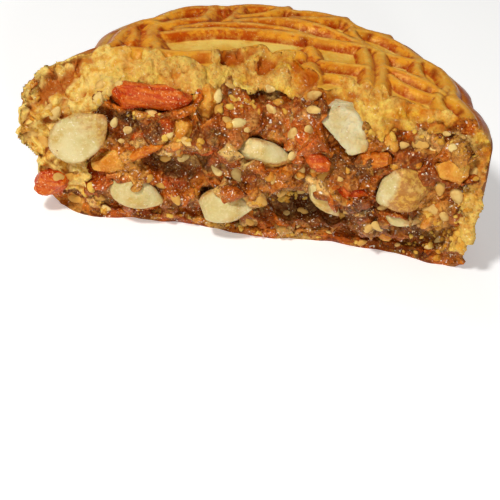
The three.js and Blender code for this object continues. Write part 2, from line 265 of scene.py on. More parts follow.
def rough(points, size, salt, octaves=3):
    """Waves of one size with ever finer ones over them."""
    return sum(swell(points, size / 2**k, salt + k) / 2**k for k in range(octaves))


def crumbs(points, size, salt):
    """Of the nearest crumb: how far its middle is, how much farther the next one's, where it lies
    and its cell."""
    q = points / size
    base = np.floor(q)
    nearest = np.full(len(points), 9.0)
    second = np.full(len(points), 9.0)
    away = np.zeros_like(points)
    own = np.zeros_like(points)
    for offset in itertools.product((-1, 0, 1), repeat=3):
        cell = base + offset
        draw = np.stack([scramble(cell, salt + k) for k in (1, 2, 3)], 1)
        middle = cell + 0.5 + 0.8 * (draw - 0.5)
        distance = np.linalg.norm(q - middle, axis=1)
        closer = distance < nearest
        second = np.where(closer, nearest, np.minimum(second, distance))
        own = np.where(closer[:, None], cell, own)
        away = np.where(closer[:, None], (q - middle) * size, away)
        nearest = np.where(closer, distance, nearest)
    return nearest, second - nearest, away, own


def facets(points, size, salt, steep):
    """Height of a surface broken into flat facets, each with a tilt and a level of its own."""
    warp = np.stack([rough(points, size, salt + 7 * k, 2) for k in range(3)], 1)
    warped = points + 0.25 * size * warp
    _, _, away, own = crumbs(warped, size, salt)
    tilt = np.stack([scramble(own, salt + k) - 0.5 for k in (5, 6, 7)], 1) * 2 * steep
    return np.sum(tilt * away, axis=1) + 0.3 * steep * size * (scramble(own, salt + 8) - 0.5)


def layers(points, size, salt, step):
    """Height of layers broken away one over the other, and 1 along their crumbly lips."""
    level = 2.2 * rough(points, size, salt, 4)
    part = level - np.floor(level)
    rise = smooth(0.66, 0.96, part)
    return step * (np.floor(level) + rise), smooth(0.3, 0.66, part) * (1 - rise)


# ------------------------------------------------------------------------------------ the shape


def valley(angle):
    """1 in a notch between two lobes, 0 in the middle of a lobe."""
    turn = (angle - NOTCH_ANGLE) / (2 * math.pi / LOBES)
    return np.abs((turn - np.floor(turn) - 0.5) * 2) ** 2.2


def all_strands():
    """The strands, and the scallops along the rim."""
    step = 2 * math.pi / LOBES
    radius = SCALLOP["radius"]
    scallops = []
    for i in range(8):
        start, end = NOTCH_ANGLE + (i - 4) * step, NOTCH_ANGLE + (i - 5) * step
        scallops.append((
            radius * math.cos(start), radius * math.sin(start),
            radius * math.cos(end), radius * math.sin(end), SCALLOP["bow"], SCALLOP["width"],
        ))
    return STRANDS + scallops


def strands_at(x, y):
    """Height of the broad moulded strands from 0 to 1, 1 along the creases between two of them, and
    how close the nearest strand is."""
    close = np.zeros_like(x)
    first = np.zeros_like(x)
    second = np.zeros_like(x)
    merged = np.zeros_like(x)
    for x0, y0, x1, y1, bow, width in all_strands():
        length = math.hypot(x1 - x0, y1 - y0)
        ux, uy = (x1 - x0) / length, (y1 - y0) / length
        u = 2 * ((x - x0) * ux + (y - y0) * uy) / length - 1
        v = (y - y0) * ux - (x - x0) * uy
        t = np.clip(u, -1, 1)
        slope = 4 * bow * t / length
        across = (v - bow * (1 - t * t)) / np.sqrt(1 + slope * slope)
        distance = np.hypot(across, (u - t) * length / 2)
        own = np.clip(1 - (distance / (0.86 * width)) ** 2, 0, 1) ** 1.4
        merged += own**6
        close = np.maximum(close, 1 - distance / (1.9 * width))
        second = np.maximum(second, np.minimum(first, own))
        first = np.maximum(first, own)
    crease = smooth(0.5, 1.0, second / np.maximum(first, 0.05)) * smooth(0.02, 0.15, second)
    return np.minimum(merged, 1.3) ** (1 / 6), crease * smooth(0.98, 0.7, first), close


def floor_z(x, y):
    """Height of the moulded top between its strands."""
    sag = 0.25 * np.sin(0.17 * x + 0.6) * np.cos(0.21 * y)
    return TOP_Z + DOME * (1 - (x * x + y * y) / TOP_RADIUS**2) + sag


def splay(points):
    """Pushes the left end outwards, as the break has done."""
    x, y, z = points.T
    share = smooth(12, -4, y) * smooth(-16, -41, x)
    shifted = points.copy()
    shifted[:, 0] -= share * (4.4 * smooth(0, 5, z) + 4 * smooth(11, 17, z))
    return shifted


def lobed(points):
    """Draws the notches between the lobes in, more so farther out."""
    r = np.hypot(points[:, 0], points[:, 1])
    notch = valley(np.arctan2(points[:, 1], points[:, 0]))
    inward = 1 - FLUTE_DEPTH * notch * r**3 / OUTER_RADIUS**4
    drawn = points.copy()
    drawn[:, 0] *= inward
    drawn[:, 1] *= inward
    return drawn


def between(pairs, x):
    """The second number of a list of pairs, smoothly in between."""
    result = np.full_like(x, float(pairs[0][1]))
    for (x0, y0), (x1, y1) in zip(pairs[:-1], pairs[1:]):
        result = np.where(x > x0, y0 + (y1 - y0) * smooth(x0, x1, x), result)
    return result


def break_y(x, z):
    """How far back the break through the pastry lies."""
    waves = (
        0.5 * np.sin(0.33 * x + 0.21 * z + 1.1) * np.cos(0.41 * z - 0.12 * x)
        + 0.35 * np.sin(0.79 * x - 0.52 * z + 2.3)
        + 0.25 * np.sin(1.37 * x + 1.13 * z)
    )
    low = smooth(FOOT_FROM, 1, z)
    rise = np.maximum(0, z - TORN_FROM) / (TORN_TOP - TORN_FROM)
    foot = (between(FOOT, x) - FACE_Y) * low
    lean = (between(TORN_BACK, x) - FACE_Y) * rise**1.5
    return FACE_Y + waves * (1 - 0.7 * low) + foot + lean


def less_lumps(number, x, z):
    """A number less what each mound brings the filling forward, and plus what each hollow takes."""
    for px, pz, rx, rz, forward in LUMPS:
        number = number - forward * np.exp(-(((x - px) / rx) ** 2) - ((z - pz) / rz) ** 2)
    return number


def filling_y(x, z):
    """How far back the broken face of the filling lies."""
    ripples = 0.4 * np.sin(1.3 * x + 0.4) * np.sin(1.1 * z + 0.9)
    return less_lumps(break_y(x, z) + 0.9 + ripples, x, z)


# ------------------------------------------------------------------------------------ meshes


def make_object(name, points, faces):
    mesh = bpy.data.meshes.new(name)
    mesh.from_pydata((np.asarray(points) * MM).tolist(), [], [list(f) for f in faces])
    mesh.polygons.foreach_set("use_smooth", [True] * len(mesh.polygons))
    mesh.update()
    made = bpy.data.objects.new(name, mesh)
    bpy.context.scene.collection.objects.link(made)
    return made


def points_of(mesh):
    flat = np.empty(len(mesh.vertices) * 3)
    mesh.vertices.foreach_get("co", flat)
    return flat.reshape(-1, 3) / MM


def normals_of(mesh):
    flat = np.empty(len(mesh.vertices) * 3)
    mesh.vertex_normals.foreach_get("vector", flat)
    return flat.reshape(-1, 3)


def move_points(mesh, points):
    mesh.vertices.foreach_set("co", (points * MM).ravel())
    mesh.update()


def note(mesh, name, values):
    """Keeps a number for every point, for the materials to read."""
    mesh.attributes.new(name, "FLOAT", "POINT").data.foreach_set("value", np.asarray(values, "f"))


def note_colour(mesh, name, colours):
    flat = np.concatenate([colours, np.ones((len(colours), 1))], axis=1).astype("f")
    mesh.attributes.new(name, "FLOAT_COLOR", "POINT").data.foreach_set("color", flat.ravel())


def apply_modifiers(piece):
    """Turns what the modifiers make into the piece's own plain mesh."""
    graph = bpy.context.evaluated_depsgraph_get()
    mesh = bpy.data.meshes.new_from_object(piece.evaluated_get(graph), depsgraph=graph)
    piece.modifiers.clear()
    piece.data = mesh


def carve(body, tool, operation):
    """Cuts a body with another one, which is used up."""
    step = body.modifiers.new("carve", "BOOLEAN")
    step.object = tool
    step.operation = operation
    step.solver = "MANIFOLD"
    apply_modifiers(body)
    bpy.data.objects.remove(tool)


def clean_cut(mesh):
    """Turns a cut body into triangles, without the pairs that lie back to back along the cut."""
    body = bmesh.new()
    body.from_mesh(mesh)
    bmesh.ops.triangulate(body, faces=body.faces)
    body.verts.index_update()
    twins = {}
    for face in body.faces:
        twins.setdefault(frozenset(v.index for v in face.verts), []).append(face)
    stray = [face for faces in twins.values() if len(faces) == 2 for face in faces]
    bmesh.ops.delete(body, geom=stray, context="FACES")
    body.to_mesh(mesh)
    body.free()
    mesh.update()


def grid_faces(columns, rows, start=0, wrap=False):
    """Quads between points numbered row by row."""
    across = columns if wrap else columns - 1
    i, j = np.meshgrid(np.arange(across), np.arange(rows - 1))
    a = start + j * columns + i
    b = start + j * columns + (i + 1) % columns
    return np.stack([a, b, b + columns, a + columns], -1).reshape(-1, 4)


def border(rows, columns):
    """The points round the edge of a grid, in order."""
    index = np.arange(rows * columns).reshape(rows, columns)
    return np.concatenate([index[0, :-1], index[:-1, -1], index[-1, :0:-1], index[:0:-1, 0]])


def end_caps(around, rows, count):
    """Triangles from the first and last ring of a closed body to its last two points."""
    end = (rows - 1) * around
    caps = []
    for i in range(around):
        n = (i + 1) % around
        caps += [(n, i, count - 2), (end + i, end + n, count - 1)]
    return caps


def outer_body(cells):
    """The whole lobed cake: a square grid laid over the disc, the wall and the underside."""
    line = np.linspace(-1, 1, cells + 1)
    u, v = (g.ravel() for g in np.meshgrid(line, line))
    wide = np.abs(u) > np.abs(v)
    with np.errstate(divide="ignore", invalid="ignore"):
        angle = np.where(
            wide,
            math.pi / 4 * v / u + np.where(u < 0, math.pi, 0),
            math.pi / 2 - math.pi / 4 * u / v + np.where(v < 0, math.pi, 0),
        )
    angle = np.nan_to_num(angle)
    share = np.maximum(np.abs(u), np.abs(v))
    x, y = TOP_RADIUS * share * np.cos(angle), TOP_RADIUS * share * np.sin(angle)
    top = splay(lobed(np.stack([x, y, floor_z(x, y)], 1)))
    raised, _, _ = strands_at(top[:, 0], top[:, 1])
    top[:, 2] += STRAND_HEIGHT * raised * smooth(1.0, 0.965, share)

    n = cells + 1
    loop = border(n, n)
    profile = np.array(SIDE_PROFILE[::-1], float)
    rows = WALL_ROWS
    run = np.concatenate([[0], np.cumsum(np.hypot(*np.diff(profile, axis=0).T))])
    at = np.linspace(0, run[-1], rows + 1)[1:]
    radius = np.interp(at, run, profile[:, 0])
    height = np.interp(at, run, profile[:, 1])
    round_angle = angle[loop]
    wall = [
        np.stack([r * np.cos(round_angle), r * np.sin(round_angle), np.full(len(loop), z)], 1)
        for r, z in zip(radius, height)
    ]
    under = [wall[-1] * (s, s, 1) for s in (0.96, 0.88, 0.76, 0.6, 0.4, 0.2)]
    rest = splay(lobed(np.concatenate(wall + under)))
    points = np.concatenate([top, rest, [(0, 0, 0)]])
    count = len(loop)
    faces = list(grid_faces(n, n))
    first = len(top)
    nxt = np.roll(np.arange(count), -1)
    faces += [(loop[b], loop[a], first + a, first + b) for a, b in zip(range(count), nxt)]
    ring_faces = grid_faces(count, rows + len(under), first, wrap=True)
    faces += list(ring_faces[:, ::-1])
    last = first + (rows + len(under) - 1) * count
    faces += [(last + b, last + a, len(points) - 1) for a, b in zip(range(count), nxt)]
    return make_object("pastry_skin", points, faces)


def broken_block(name, surface, step, wide=(-56, 56), high=(-2, 40)):
    """Everything behind a broken surface."""
    columns = int((wide[1] - wide[0]) / step) + 1
    rows = int((high[1] - high[0]) / step) + 1
    x, z = np.meshgrid(np.linspace(*wide, columns), np.linspace(*high, rows))
    x, z = x.ravel(), z.ravel()
    front = np.stack([x, surface(x, z), z], 1)
    loop = border(rows, columns)
    back = front[loop].copy()
    back[:, 1] = BEHIND_ALL
    first, count = len(front), len(loop)
    faces = list(grid_faces(columns, rows))
    faces += [
        (loop[(i + 1) % count], loop[i], first + i, first + (i + 1) % count) for i in range(count)
    ]
    faces.append(tuple(range(first + count - 1, first - 1, -1)))
    return make_object(name, np.concatenate([front, back]), faces)


def drum(name, inset, around=240, fine=30):
    """The room inside the pastry, drawn in by an inset, with an uneven wall."""
    radius, corner = CAVITY["radius"] - inset, CAVITY["corner"] - inset
    low, high = CAVITY["low"] + inset, CAVITY["high"] - inset
    turn = np.linspace(0, math.pi / 2, 12)
    outline = [(radius * s, low) for s in np.linspace(0.02, 0.8, fine)]
    inner = radius - corner
    outline += [(inner + corner * math.sin(a), low + corner * (1 - math.cos(a))) for a in turn]
    side = np.linspace(low + corner, high - corner, fine)[1:-1]
    outline += [(radius, z) for z in side]
    outline += [(inner + corner * math.cos(a), high - corner * (1 - math.sin(a))) for a in turn]
    outline += [(radius * s, high) for s in np.linspace(0.8, 0.02, fine)]
    outline = [p for i, p in enumerate(outline) if i == 0 or math.dist(p, outline[i - 1]) > 1e-6]
    angles = np.linspace(0, 2 * math.pi, around, endpoint=False)
    points = [
        (CAVITY["x"] + r * math.cos(a), r * math.sin(a), z) for r, z in outline for a in angles
    ]
    rows = len(outline)
    faces = [tuple(f) for f in grid_faces(around, rows, 0, wrap=True)]
    points += [(CAVITY["x"], 0, low), (CAVITY["x"], 0, high)]
    points = np.array(points)
    hang = np.exp(-(((points[:, 0] - FLAP["x"]) / FLAP["reach"]) ** 2))
    middle = (CAVITY["low"] + CAVITY["high"]) / 2
    points[:, 2] -= FLAP["drop"] * hang * smooth(middle, CAVITY["high"], points[:, 2])
    out = points - (CAVITY["x"], 0, middle)
    out[:, :2] /= CAVITY["radius"]
    out[:, 2] /= middle
    out = out**5
    out /= np.linalg.norm(out, axis=1, keepdims=True)
    lump, _, _, _ = crumbs(points, 3.2, 125)
    points += out * (0.8 * rough(points, 3.4, 121, 2) + 1.6 * (lump - 0.5))[:, None]
    return make_object(name, points, faces + end_caps(around, rows, len(points)))


# ------------------------------------------------------------------------------------ node graphs


def paint(red, green, blue):
    """A colour as seen, 0 to 255, as the linear numbers that a shader takes."""
    seen = (red, green, blue)
    return tuple(((c / 255 + 0.055) / 1.055) ** 2.4 if c > 10 else c / 3295 for c in seen)


class Wire:
    """A value inside a node graph that can be used in sums."""

    def __init__(self, graph, socket):
        self.graph = graph
        self.socket = socket

    def _sum(self, operation, first, second):
        return self.graph.make("ShaderNodeMath", {"operation": operation}, {0: first, 1: second})

    def __add__(self, other):
        return self._sum("ADD", self, other)

    __radd__ = __add__

    def __sub__(self, other):
        return self._sum("SUBTRACT", self, other)

    def __rsub__(self, other):
        return self._sum("SUBTRACT", other, self)

    def __mul__(self, other):
        return self._sum("MULTIPLY", self, other)

    __rmul__ = __mul__

    def ramp(self, low, high):
        """0 at low and 1 at high, smoothly."""
        settings = {"interpolation_type": "SMOOTHSTEP"}
        values = {0: self, 1: low, 2: high, 3: 0.0, 4: 1.0}
        return self.graph.make("ShaderNodeMapRange", settings, values)


class Graph:
    """A node tree being put together."""

    def __init__(self, tree):
        self.tree = tree

    def set(self, node, values):
        for key, value in values.items():
            socket = node.inputs[key]
            if isinstance(value, Wire):
                self.tree.links.new(value.socket, socket)
            else:
                socket.default_value = value

    def make(self, kind, settings=None, values=None, output=0):
        node = self.tree.nodes.new(kind)
        for key, value in (settings or {}).items():
            setattr(node, key, value)
        self.set(node, values or {})
        return Wire(self, node.outputs[output])


# The tone of what syrup, glaze and oil reflect.
AMBER = (1.0, 0.64, 0.24, 1.0)


class Recipe(Graph):
    """A material being put together."""

    def __init__(self, name):
        self.material = bpy.data.materials.new(name)
        self.material.use_nodes = True
        super().__init__(self.material.node_tree)
        self.shader = self.tree.nodes["Principled BSDF"]

    def place(self):
        return self.make("ShaderNodeTexCoord", output="Object")

    def across(self):
        """Place along X, in millimetres."""
        return self.make("ShaderNodeSeparateXYZ", None, {0: self.place()}) * (1 / MM)

    def number(self, name):
        return self.make("ShaderNodeAttribute", {"attribute_name": name}, output="Fac")

    def tint(self, name):
        return self.make("ShaderNodeAttribute", {"attribute_name": name}, output="Color")

    def noise(self, size_mm, detail=3.0, roughness=0.55, stretch=(1, 1, 1), warp=0.0):
        values = {"Scale": 1 / (size_mm * MM), "Detail": detail, "Roughness": roughness}
        values.update({"Distortion": warp, "Vector": self.place()})
        if stretch != (1, 1, 1):
            mapped = {"Vector": values["Vector"], "Scale": stretch}
            values["Vector"] = self.make("ShaderNodeMapping", None, mapped)
        return self.make("ShaderNodeTexNoise", None, values)

    def grains(self, size_mm, output="Distance"):
        values = {"Vector": self.place(), "Scale": 1 / (size_mm * MM)}
        return self.make("ShaderNodeTexVoronoi", None, values, output)

    def painted_glints(self, size_mm, amount=1.0):
        """Tiny painted glints, as of light on wet sugar, in patches."""
        glint = self.noise(size_mm, 1).ramp(0.66, 0.71)
        return glint * self.noise(6 * size_mm, 2).ramp(0.44, 0.58) * amount

    def blend(self, share, first, second):
        settings = {"data_type": "RGBA", "blend_type": "MIX"}
        colours = [c if isinstance(c, Wire) else (*c, 1.0) for c in (first, second)]
        return self.make("ShaderNodeMix", settings, {0: share, 6: colours[0], 7: colours[1]}, 2)

    def coat(self, colour, *layers):
        """Lays one colour after another over the first, each by its share."""
        for share, over in layers:
            colour = self.blend(share, colour, over if isinstance(over, Wire) else paint(*over))
        return colour

    def finish(self, colour, roughness, height, bump_mm, **constants):
        values = {"Height": height, "Strength": 1.0, "Distance": bump_mm * MM}
        bump = self.make("ShaderNodeBump", None, values)
        self.set(self.shader, {"Base Color": colour, "Roughness": roughness, "Normal": bump})
        self.set(self.shader, {"Specular IOR Level": 0.3, "Specular Tint": AMBER})
        self.set(self.shader, {name.replace("_", " "): value for name, value in constants.items()})
        return self.material


# ------------------------------------------------------------------------------------ materials


def paste(r, tint, hollow_shade):
    """Colour of sticky paste grainy with crushed nuts, painted shade and glints; its fine grain."""
    mottle = r.noise(1.6, 3, 0.6)
    fine = r.noise(0.6, 2, 0.6)
    syrup = r.blend(r.noise(4.2, 3).ramp(0.35, 0.65), paint(92, 26, 1), paint(188, 78, 2))
    colour = r.coat(
        tint,
        (mottle.ramp(0.35, 0.7) * 0.7, syrup),
        (fine.ramp(0.56, 0.72) * 0.55, (230, 156, 56)),
        (fine.ramp(0.48, 0.32) * 0.7, (80, 26, 1)),
        # painted shade: darker in the hollows
        (hollow_shade * (0.55 + 0.4 * mottle), (62, 16, 1)),
        # painted glints, small and larger
        (r.painted_glints(0.4, 0.9), (255, 238, 204)),
        (r.painted_glints(0.75, 0.9), (255, 246, 228)),
    )
    return colour, fine


def pastry_finish():
    """Egg-washed and baked outside, pale and crumbly where it is torn, smeared with syrup."""
    r = Recipe("baked_pastry")
    ridge, crease, close, near, wall, rim, shade = (
        r.number(name) for name in ("ridge", "crease", "close", "near", "wall", "rim", "shade")
    )
    torn, hollow_shade, loose, toast, smear = (
        r.number(name) for name in ("torn", "hollow_shade", "loose", "toast", "smear")
    )
    patch = r.noise(7, 3)
    mottle = r.noise(1.7, 4, 0.6)
    smeared, fine = paste(r, r.tint("tint"), hollow_shade)
    right = r.across().ramp(-14, 20)
    left_end = r.across().ramp(-25, -38)

    glazed = r.blend(patch.ramp(0.35, 0.65), paint(250, 214, 106), paint(230, 166, 50))
    blotch = (mottle * 0.6 + patch * 0.4).ramp(0.42, 0.57)
    crest = r.blend(blotch, paint(236, 158, 40), paint(190, 76, 1))
    crest = r.coat(
        crest,
        # ridges turn gold towards the right, in patches: painted light, as they are lit brighter on
        # that side
        (right * (0.05 + 0.75 * patch.ramp(0.46, 0.6)), (234, 168, 48)),
        # painted highlight along the tops of the crests
        (ridge.ramp(0.8, 1.0) * mottle.ramp(0.42, 0.6) * 0.7, (244, 190, 78)),
    )
    browned = (ridge + (mottle - 0.5) * 0.4 + (patch - 0.5) * 0.4).ramp(0.0, 0.5)
    foot = ridge.ramp(0.0, 0.12) * ridge.ramp(0.75, 0.2) * (0.5 + 0.5 * mottle.ramp(0.3, 0.6))
    baked = r.blend(r.noise(17, 2).ramp(0.25, 0.75), paint(202, 126, 32), paint(194, 112, 22))
    glazed = r.coat(
        glazed,
        # floor beside the strands browner: partly baked glaze, partly painted shade
        ((close + (mottle - 0.5) * 0.6).ramp(0.35, 0.85) * 0.7, (222, 136, 24)),
        (browned, crest),
        # rust at the feet of the strands and darker in the creases between them: partly baked
        # glaze, partly painted shade
        (foot, (168, 56, 1)),
        (crease * (0.8 + 0.2 * mottle), (138, 38, 1)),
        (wall * (0.94 + 0.06 * mottle), baked),
        (rim * (0.6 + 0.4 * patch.ramp(0.3, 0.6)), (166, 64, 1)),
        (near * 0.6, (218, 154, 46)),
        (shade, (120, 52, 6)),
        (fine.ramp(0.58, 0.75) * (0.3 - 0.25 * wall), (238, 184, 80)),
        # painted glints, none on the wall
        (r.painted_glints(0.4, 0.3) * (1 - wall), (255, 228, 170)),
    )

    edge = (torn + (fine - 0.5) * 0.35 + (mottle - 0.5) * 0.5).ramp(0.42, 0.6)
    crumb = r.blend(mottle.ramp(0.32, 0.68), paint(234, 184, 56), paint(208, 120, 4))
    crumb = r.coat(
        crumb,
        (patch.ramp(0.45, 0.6) * (0.7 - 0.4 * left_end), (202, 98, 1)),
        (toast * (0.35 + 0.45 * mottle), (204, 106, 6)),
        # pale loose crumb, and a painted highlight that lightens the raised parts
        (loose * (0.1 + 0.85 * fine), (246, 218, 116)),
        (left_end * (0.15 + 0.6 * mottle.ramp(0.42, 0.58)), (250, 220, 128)),
        (left_end * mottle.ramp(0.47, 0.36) * 0.6, (202, 108, 8)),
        (fine.ramp(0.46, 0.34) * 0.25, (188, 96, 8)),
        # painted shade: darker in the low places
        (hollow_shade.ramp(0.15, 0.8) * (0.6 + 0.5 * fine), (176, 74, 1)),
        # painted glints
        (r.painted_glints(0.5, 0.6), (255, 240, 190)),
        ((smear + (mottle - 0.5) * 0.7).ramp(0.3, 0.65), smeared),
    )
    colour = r.blend(edge, glazed, crumb)
    grit = r.noise(0.35, 2, 0.6)
    height = mottle * 0.35 + fine * (0.3 + 0.5 * edge) + grit * 0.5 * edge
    return r.finish(
        colour, 0.2 + 0.2 * mottle + 0.5 * wall + 0.06 * edge - 0.12 * smear, height, 0.34,
        Specular_IOR_Level=0.32, Subsurface_Weight=0.12, Subsurface_Scale=0.0012,
    )


def filling_finish():
    """Chopped nuts and fruit in sticky syrup."""
    r = Recipe("nut_filling")
    colour, fine = paste(r, r.tint("tint"), r.number("hollow_shade"))
    grain = r.noise(0.45, 2, 0.6)
    height = r.noise(1.6, 3, 0.6) * 0.5 + fine * 0.55 + grain * 0.25
    return r.finish(
        colour, 0.1 + 0.22 * grain.ramp(0.4, 0.65) - 0.03 * r.number("wet"), height, 0.6,
        Specular_IOR_Level=0.8, Subsurface_Weight=0.12, Subsurface_Scale=0.0015,
    )


def kernel_finish():
    """Ivory kernels stained with syrup where they leave the filling, with painted highlights."""
    r = Recipe("kernel")
    soft = r.noise(3.4, 3)
    mottle = r.noise(0.9, 3, 0.6)
    fine = r.noise(0.55, 3, 0.6)
    speck = r.grains(1.9).ramp(0.12, 0.05) * r.noise(2.4, 2).ramp(0.52, 0.62)
    stain = (r.number("stain") + (soft - 0.5) * 0.9 + (mottle - 0.5) * 0.7).ramp(0.25, 0.95)
    syrup = r.blend(mottle.ramp(0.4, 0.6), paint(214, 158, 60), paint(172, 98, 22))
    colour = r.blend(soft.ramp(0.42, 0.7), paint(208, 188, 124), paint(200, 164, 84))
    colour = r.coat(
        colour,
        # painted highlight: soft pale patches
        (r.noise(4.6, 1).ramp(0.42, 0.7) * 0.6, (236, 222, 170)),
        (speck, (150, 80, 28)),
        (fine.ramp(0.5, 0.66) * 0.45, (234, 218, 166)),
        (mottle.ramp(0.44, 0.3) * 0.25, (206, 164, 80)),
        # painted glints
        (r.painted_glints(0.5, 0.5), (255, 248, 226)),
        (stain * 0.85, syrup),
    )
    return r.finish(
        colour, 0.14 + 0.16 * mottle, soft * 0.6 + mottle * 0.5 + fine * 0.25, 0.5,
        Specular_IOR_Level=0.7, Subsurface_Weight=0.2, Subsurface_Scale=0.002,
    )


def seed_finish():
    """Toasted seeds, some darker than others."""
    r = Recipe("sesame_seed")
    tone = r.number("tone")
    colour = r.blend(tone, paint(236, 208, 134), paint(208, 150, 60))
    colour = r.blend(r.noise(1.4, 2).ramp(0.45, 0.7) * 0.5, colour, paint(196, 132, 50))
    return r.finish(colour, 0.2 + 0.14 * tone, r.noise(0.6, 2), 0.2, Specular_IOR_Level=0.4)


def melon_finish():
    """Pale candied melon, with painted glints as of light on its sugar."""
    r = Recipe("candied_melon")
    soft = r.noise(3, 3)
    fine = r.noise(0.45, 3)
    stain = (r.number("stain") + (soft - 0.5) * 0.9).ramp(0.4, 1.1) * 0.7
    colour = r.blend(soft.ramp(0.3, 0.7), paint(226, 212, 168), paint(210, 186, 126))
    colour = r.coat(
        colour,
        (stain, (206, 146, 66)),
        # painted glints
        (r.painted_glints(0.6, 0.8), (255, 250, 230)),
    )
    return r.finish(
        colour, 0.12 + 0.18 * fine, soft * 0.5 + fine * 0.6 + r.grains(0.9) * 0.3, 0.45,
        Specular_IOR_Level=0.7, Subsurface_Weight=0.3, Subsurface_Scale=0.004,
    )


def candied_finish(name, deep, bright, pale):
    """Candied fruit: wet fibres along its length."""
    r = Recipe(name)
    streak = r.noise(1.1, 4, 0.65, stretch=(0.22, 1, 1))
    blotch = r.noise(3.2, 3)
    fine = r.noise(0.6, 2, 0.6)
    colour = r.blend(streak.ramp(0.36, 0.62), paint(*deep), paint(*bright))
    colour = r.coat(
        colour,
        (blotch.ramp(0.5, 0.75) * 0.5, deep),
        (fine.ramp(0.55, 0.7) * 0.45, pale),
        # painted glints
        (r.painted_glints(0.5, 0.8), (255, 226, 180)),
    )
    return r.finish(
        colour, 0.1 + 0.18 * fine, streak * 0.9 + fine * 0.6, 0.7,
        Specular_IOR_Level=0.9, Subsurface_Weight=0.12, Subsurface_Scale=0.002,
    )


def nut_finish(name="amber_nut"):
    """Nut meat glazed with syrup."""
    r = Recipe(name)
    soft = r.noise(2.6, 3)
    fine = r.noise(0.6, 3)
    colour = r.blend(soft.ramp(0.35, 0.65), paint(230, 166, 66), paint(202, 118, 28))
    colour = r.coat(
        colour,
        (fine.ramp(0.55, 0.7) * 0.4, (238, 188, 96)),
        # painted glints
        (r.painted_glints(0.55, 0.7), (255, 238, 196)),
    )
    return r.finish(
        colour, 0.16 + 0.2 * fine, soft * 0.6 + fine * 0.6, 0.35,
        Specular_IOR_Level=0.6, Subsurface_Weight=0.25, Subsurface_Scale=0.002,
    )


def crumb_finish():
    """Dry crumbs of the pastry."""
    r = Recipe("pastry_crumb")
    tone = r.number("tone")
    colour = r.blend(tone, paint(232, 188, 80), paint(198, 124, 26))
    fine = r.noise(0.4, 3, 0.6)
    colour = r.blend(fine.ramp(0.5, 0.7) * 0.5, colour, paint(246, 212, 124))
    return r.finish(colour, 0.45 + 0.1 * tone, fine, 0.2)


# ------------------------------------------------------------------------------------ the pieces


def settle(piece, material, slot, *nodes):
    """A finished piece: its look, the body it rides on and the solids it stands for."""
    piece.data.materials.clear()
    piece.data.materials.append(material)
    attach(piece, "root")
    if nodes:
        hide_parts(*nodes)
    return piece


def torn_surface(x, z):
    """The break through the pastry, with crumbly scallops where it comes out through the top."""
    p = np.stack([x, np.zeros_like(x), z], 1)
    high = smooth(26, 31, z)
    scallop, _, _, _ = crumbs(p + 0.7 * rough(p, 2.4, 15, 2)[:, None], 3.4, 17)
    waves = rough(p, 8, 11, 2) + 0.2 * rough(p, 1.7, 13, 2)
    return break_y(x, z) + (0.25 + 0.4 * high) * waves + 1.6 * high * (scallop - 0.45)


# Chopped bits of the filling: share of them, colour, how proud they stand.
BITS = [
    (0.26, (186, 82, 8), 0.3),
    (0.17, (206, 110, 24), 0.6),
    (0.18, (142, 52, 3), 0.3),
    (0.14, (220, 152, 62), 0.8),
    (0.05, (194, 64, 5), 0.6),
    (0.09, (232, 186, 104), 1.0),
    (0.11, (84, 30, 3), 0.0),
]

# Places of their own: x, z, half length, half height, turn, colour, how proud.
PATCHES = [
    (2.8, 14.6, 5.2, 3.0, -8, (206, 118, 32), 0.5),
    (-31.5, 9.4, 4.4, 2.2, 8, (180, 60, 8), 0.3),
    (-20.0, 13.6, 5.6, 2.4, -12, (84, 36, 10), 0.2),
    (-27.0, 22.6, 5.4, 1.8, -10, (78, 32, 8), 0.0),
    (10.0, 8.6, 8.6, 3.0, -8, (88, 30, 4), 0.2),
    (21.5, 10.7, 3.6, 0.7, 50, (132, 22, 6), 1.0),
    (31.0, 7.4, 5.2, 2.2, -10, (96, 44, 10), 0.0),
    (4.4, 24.0, 4.4, 5.4, -60, (198, 82, 8), 0.5),
    (-6.0, 25.6, 6.4, 3.4, 0, (172, 72, 10), 0.4),
    (-8.0, 16.6, 8.4, 2.2, -14, (124, 42, 4), 0.1),
    (28.0, 22.6, 8.4, 3.0, -6, (160, 64, 8), 0.4),
    (32.4, 15.6, 2.8, 4.6, 0, (208, 136, 50), 0.6),
    (15.0, 18.6, 5.8, 1.8, -14, (190, 108, 38), 0.5),
    (36.0, 8.4, 3.4, 4.4, 0, (214, 150, 62), 0.7),
    (2.2, 11.2, 5.4, 0.7, 27, (236, 190, 104), 1.2),
    (3.9, 23.0, 0.5, 4.8, 8, (232, 184, 98), 1.3),
    (-17.0, 21.2, 4.0, 0.8, -6, (222, 164, 76), 0.9),
    (20.0, 5.0, 9.0, 2.0, -6, (150, 62, 6), 0.3),
    (-14.0, 5.0, 12.0, 1.8, 0, (140, 56, 6), 0.3),
]


def seen_from(x, z, px, pz, degrees):
    """Where a place in the face lies as seen from another one: along a direction, and across it."""
    angle = math.radians(degrees)
    return (
        (x - px) * math.cos(angle) + (z - pz) * math.sin(angle),
        (z - pz) * math.cos(angle) - (x - px) * math.sin(angle),
    )


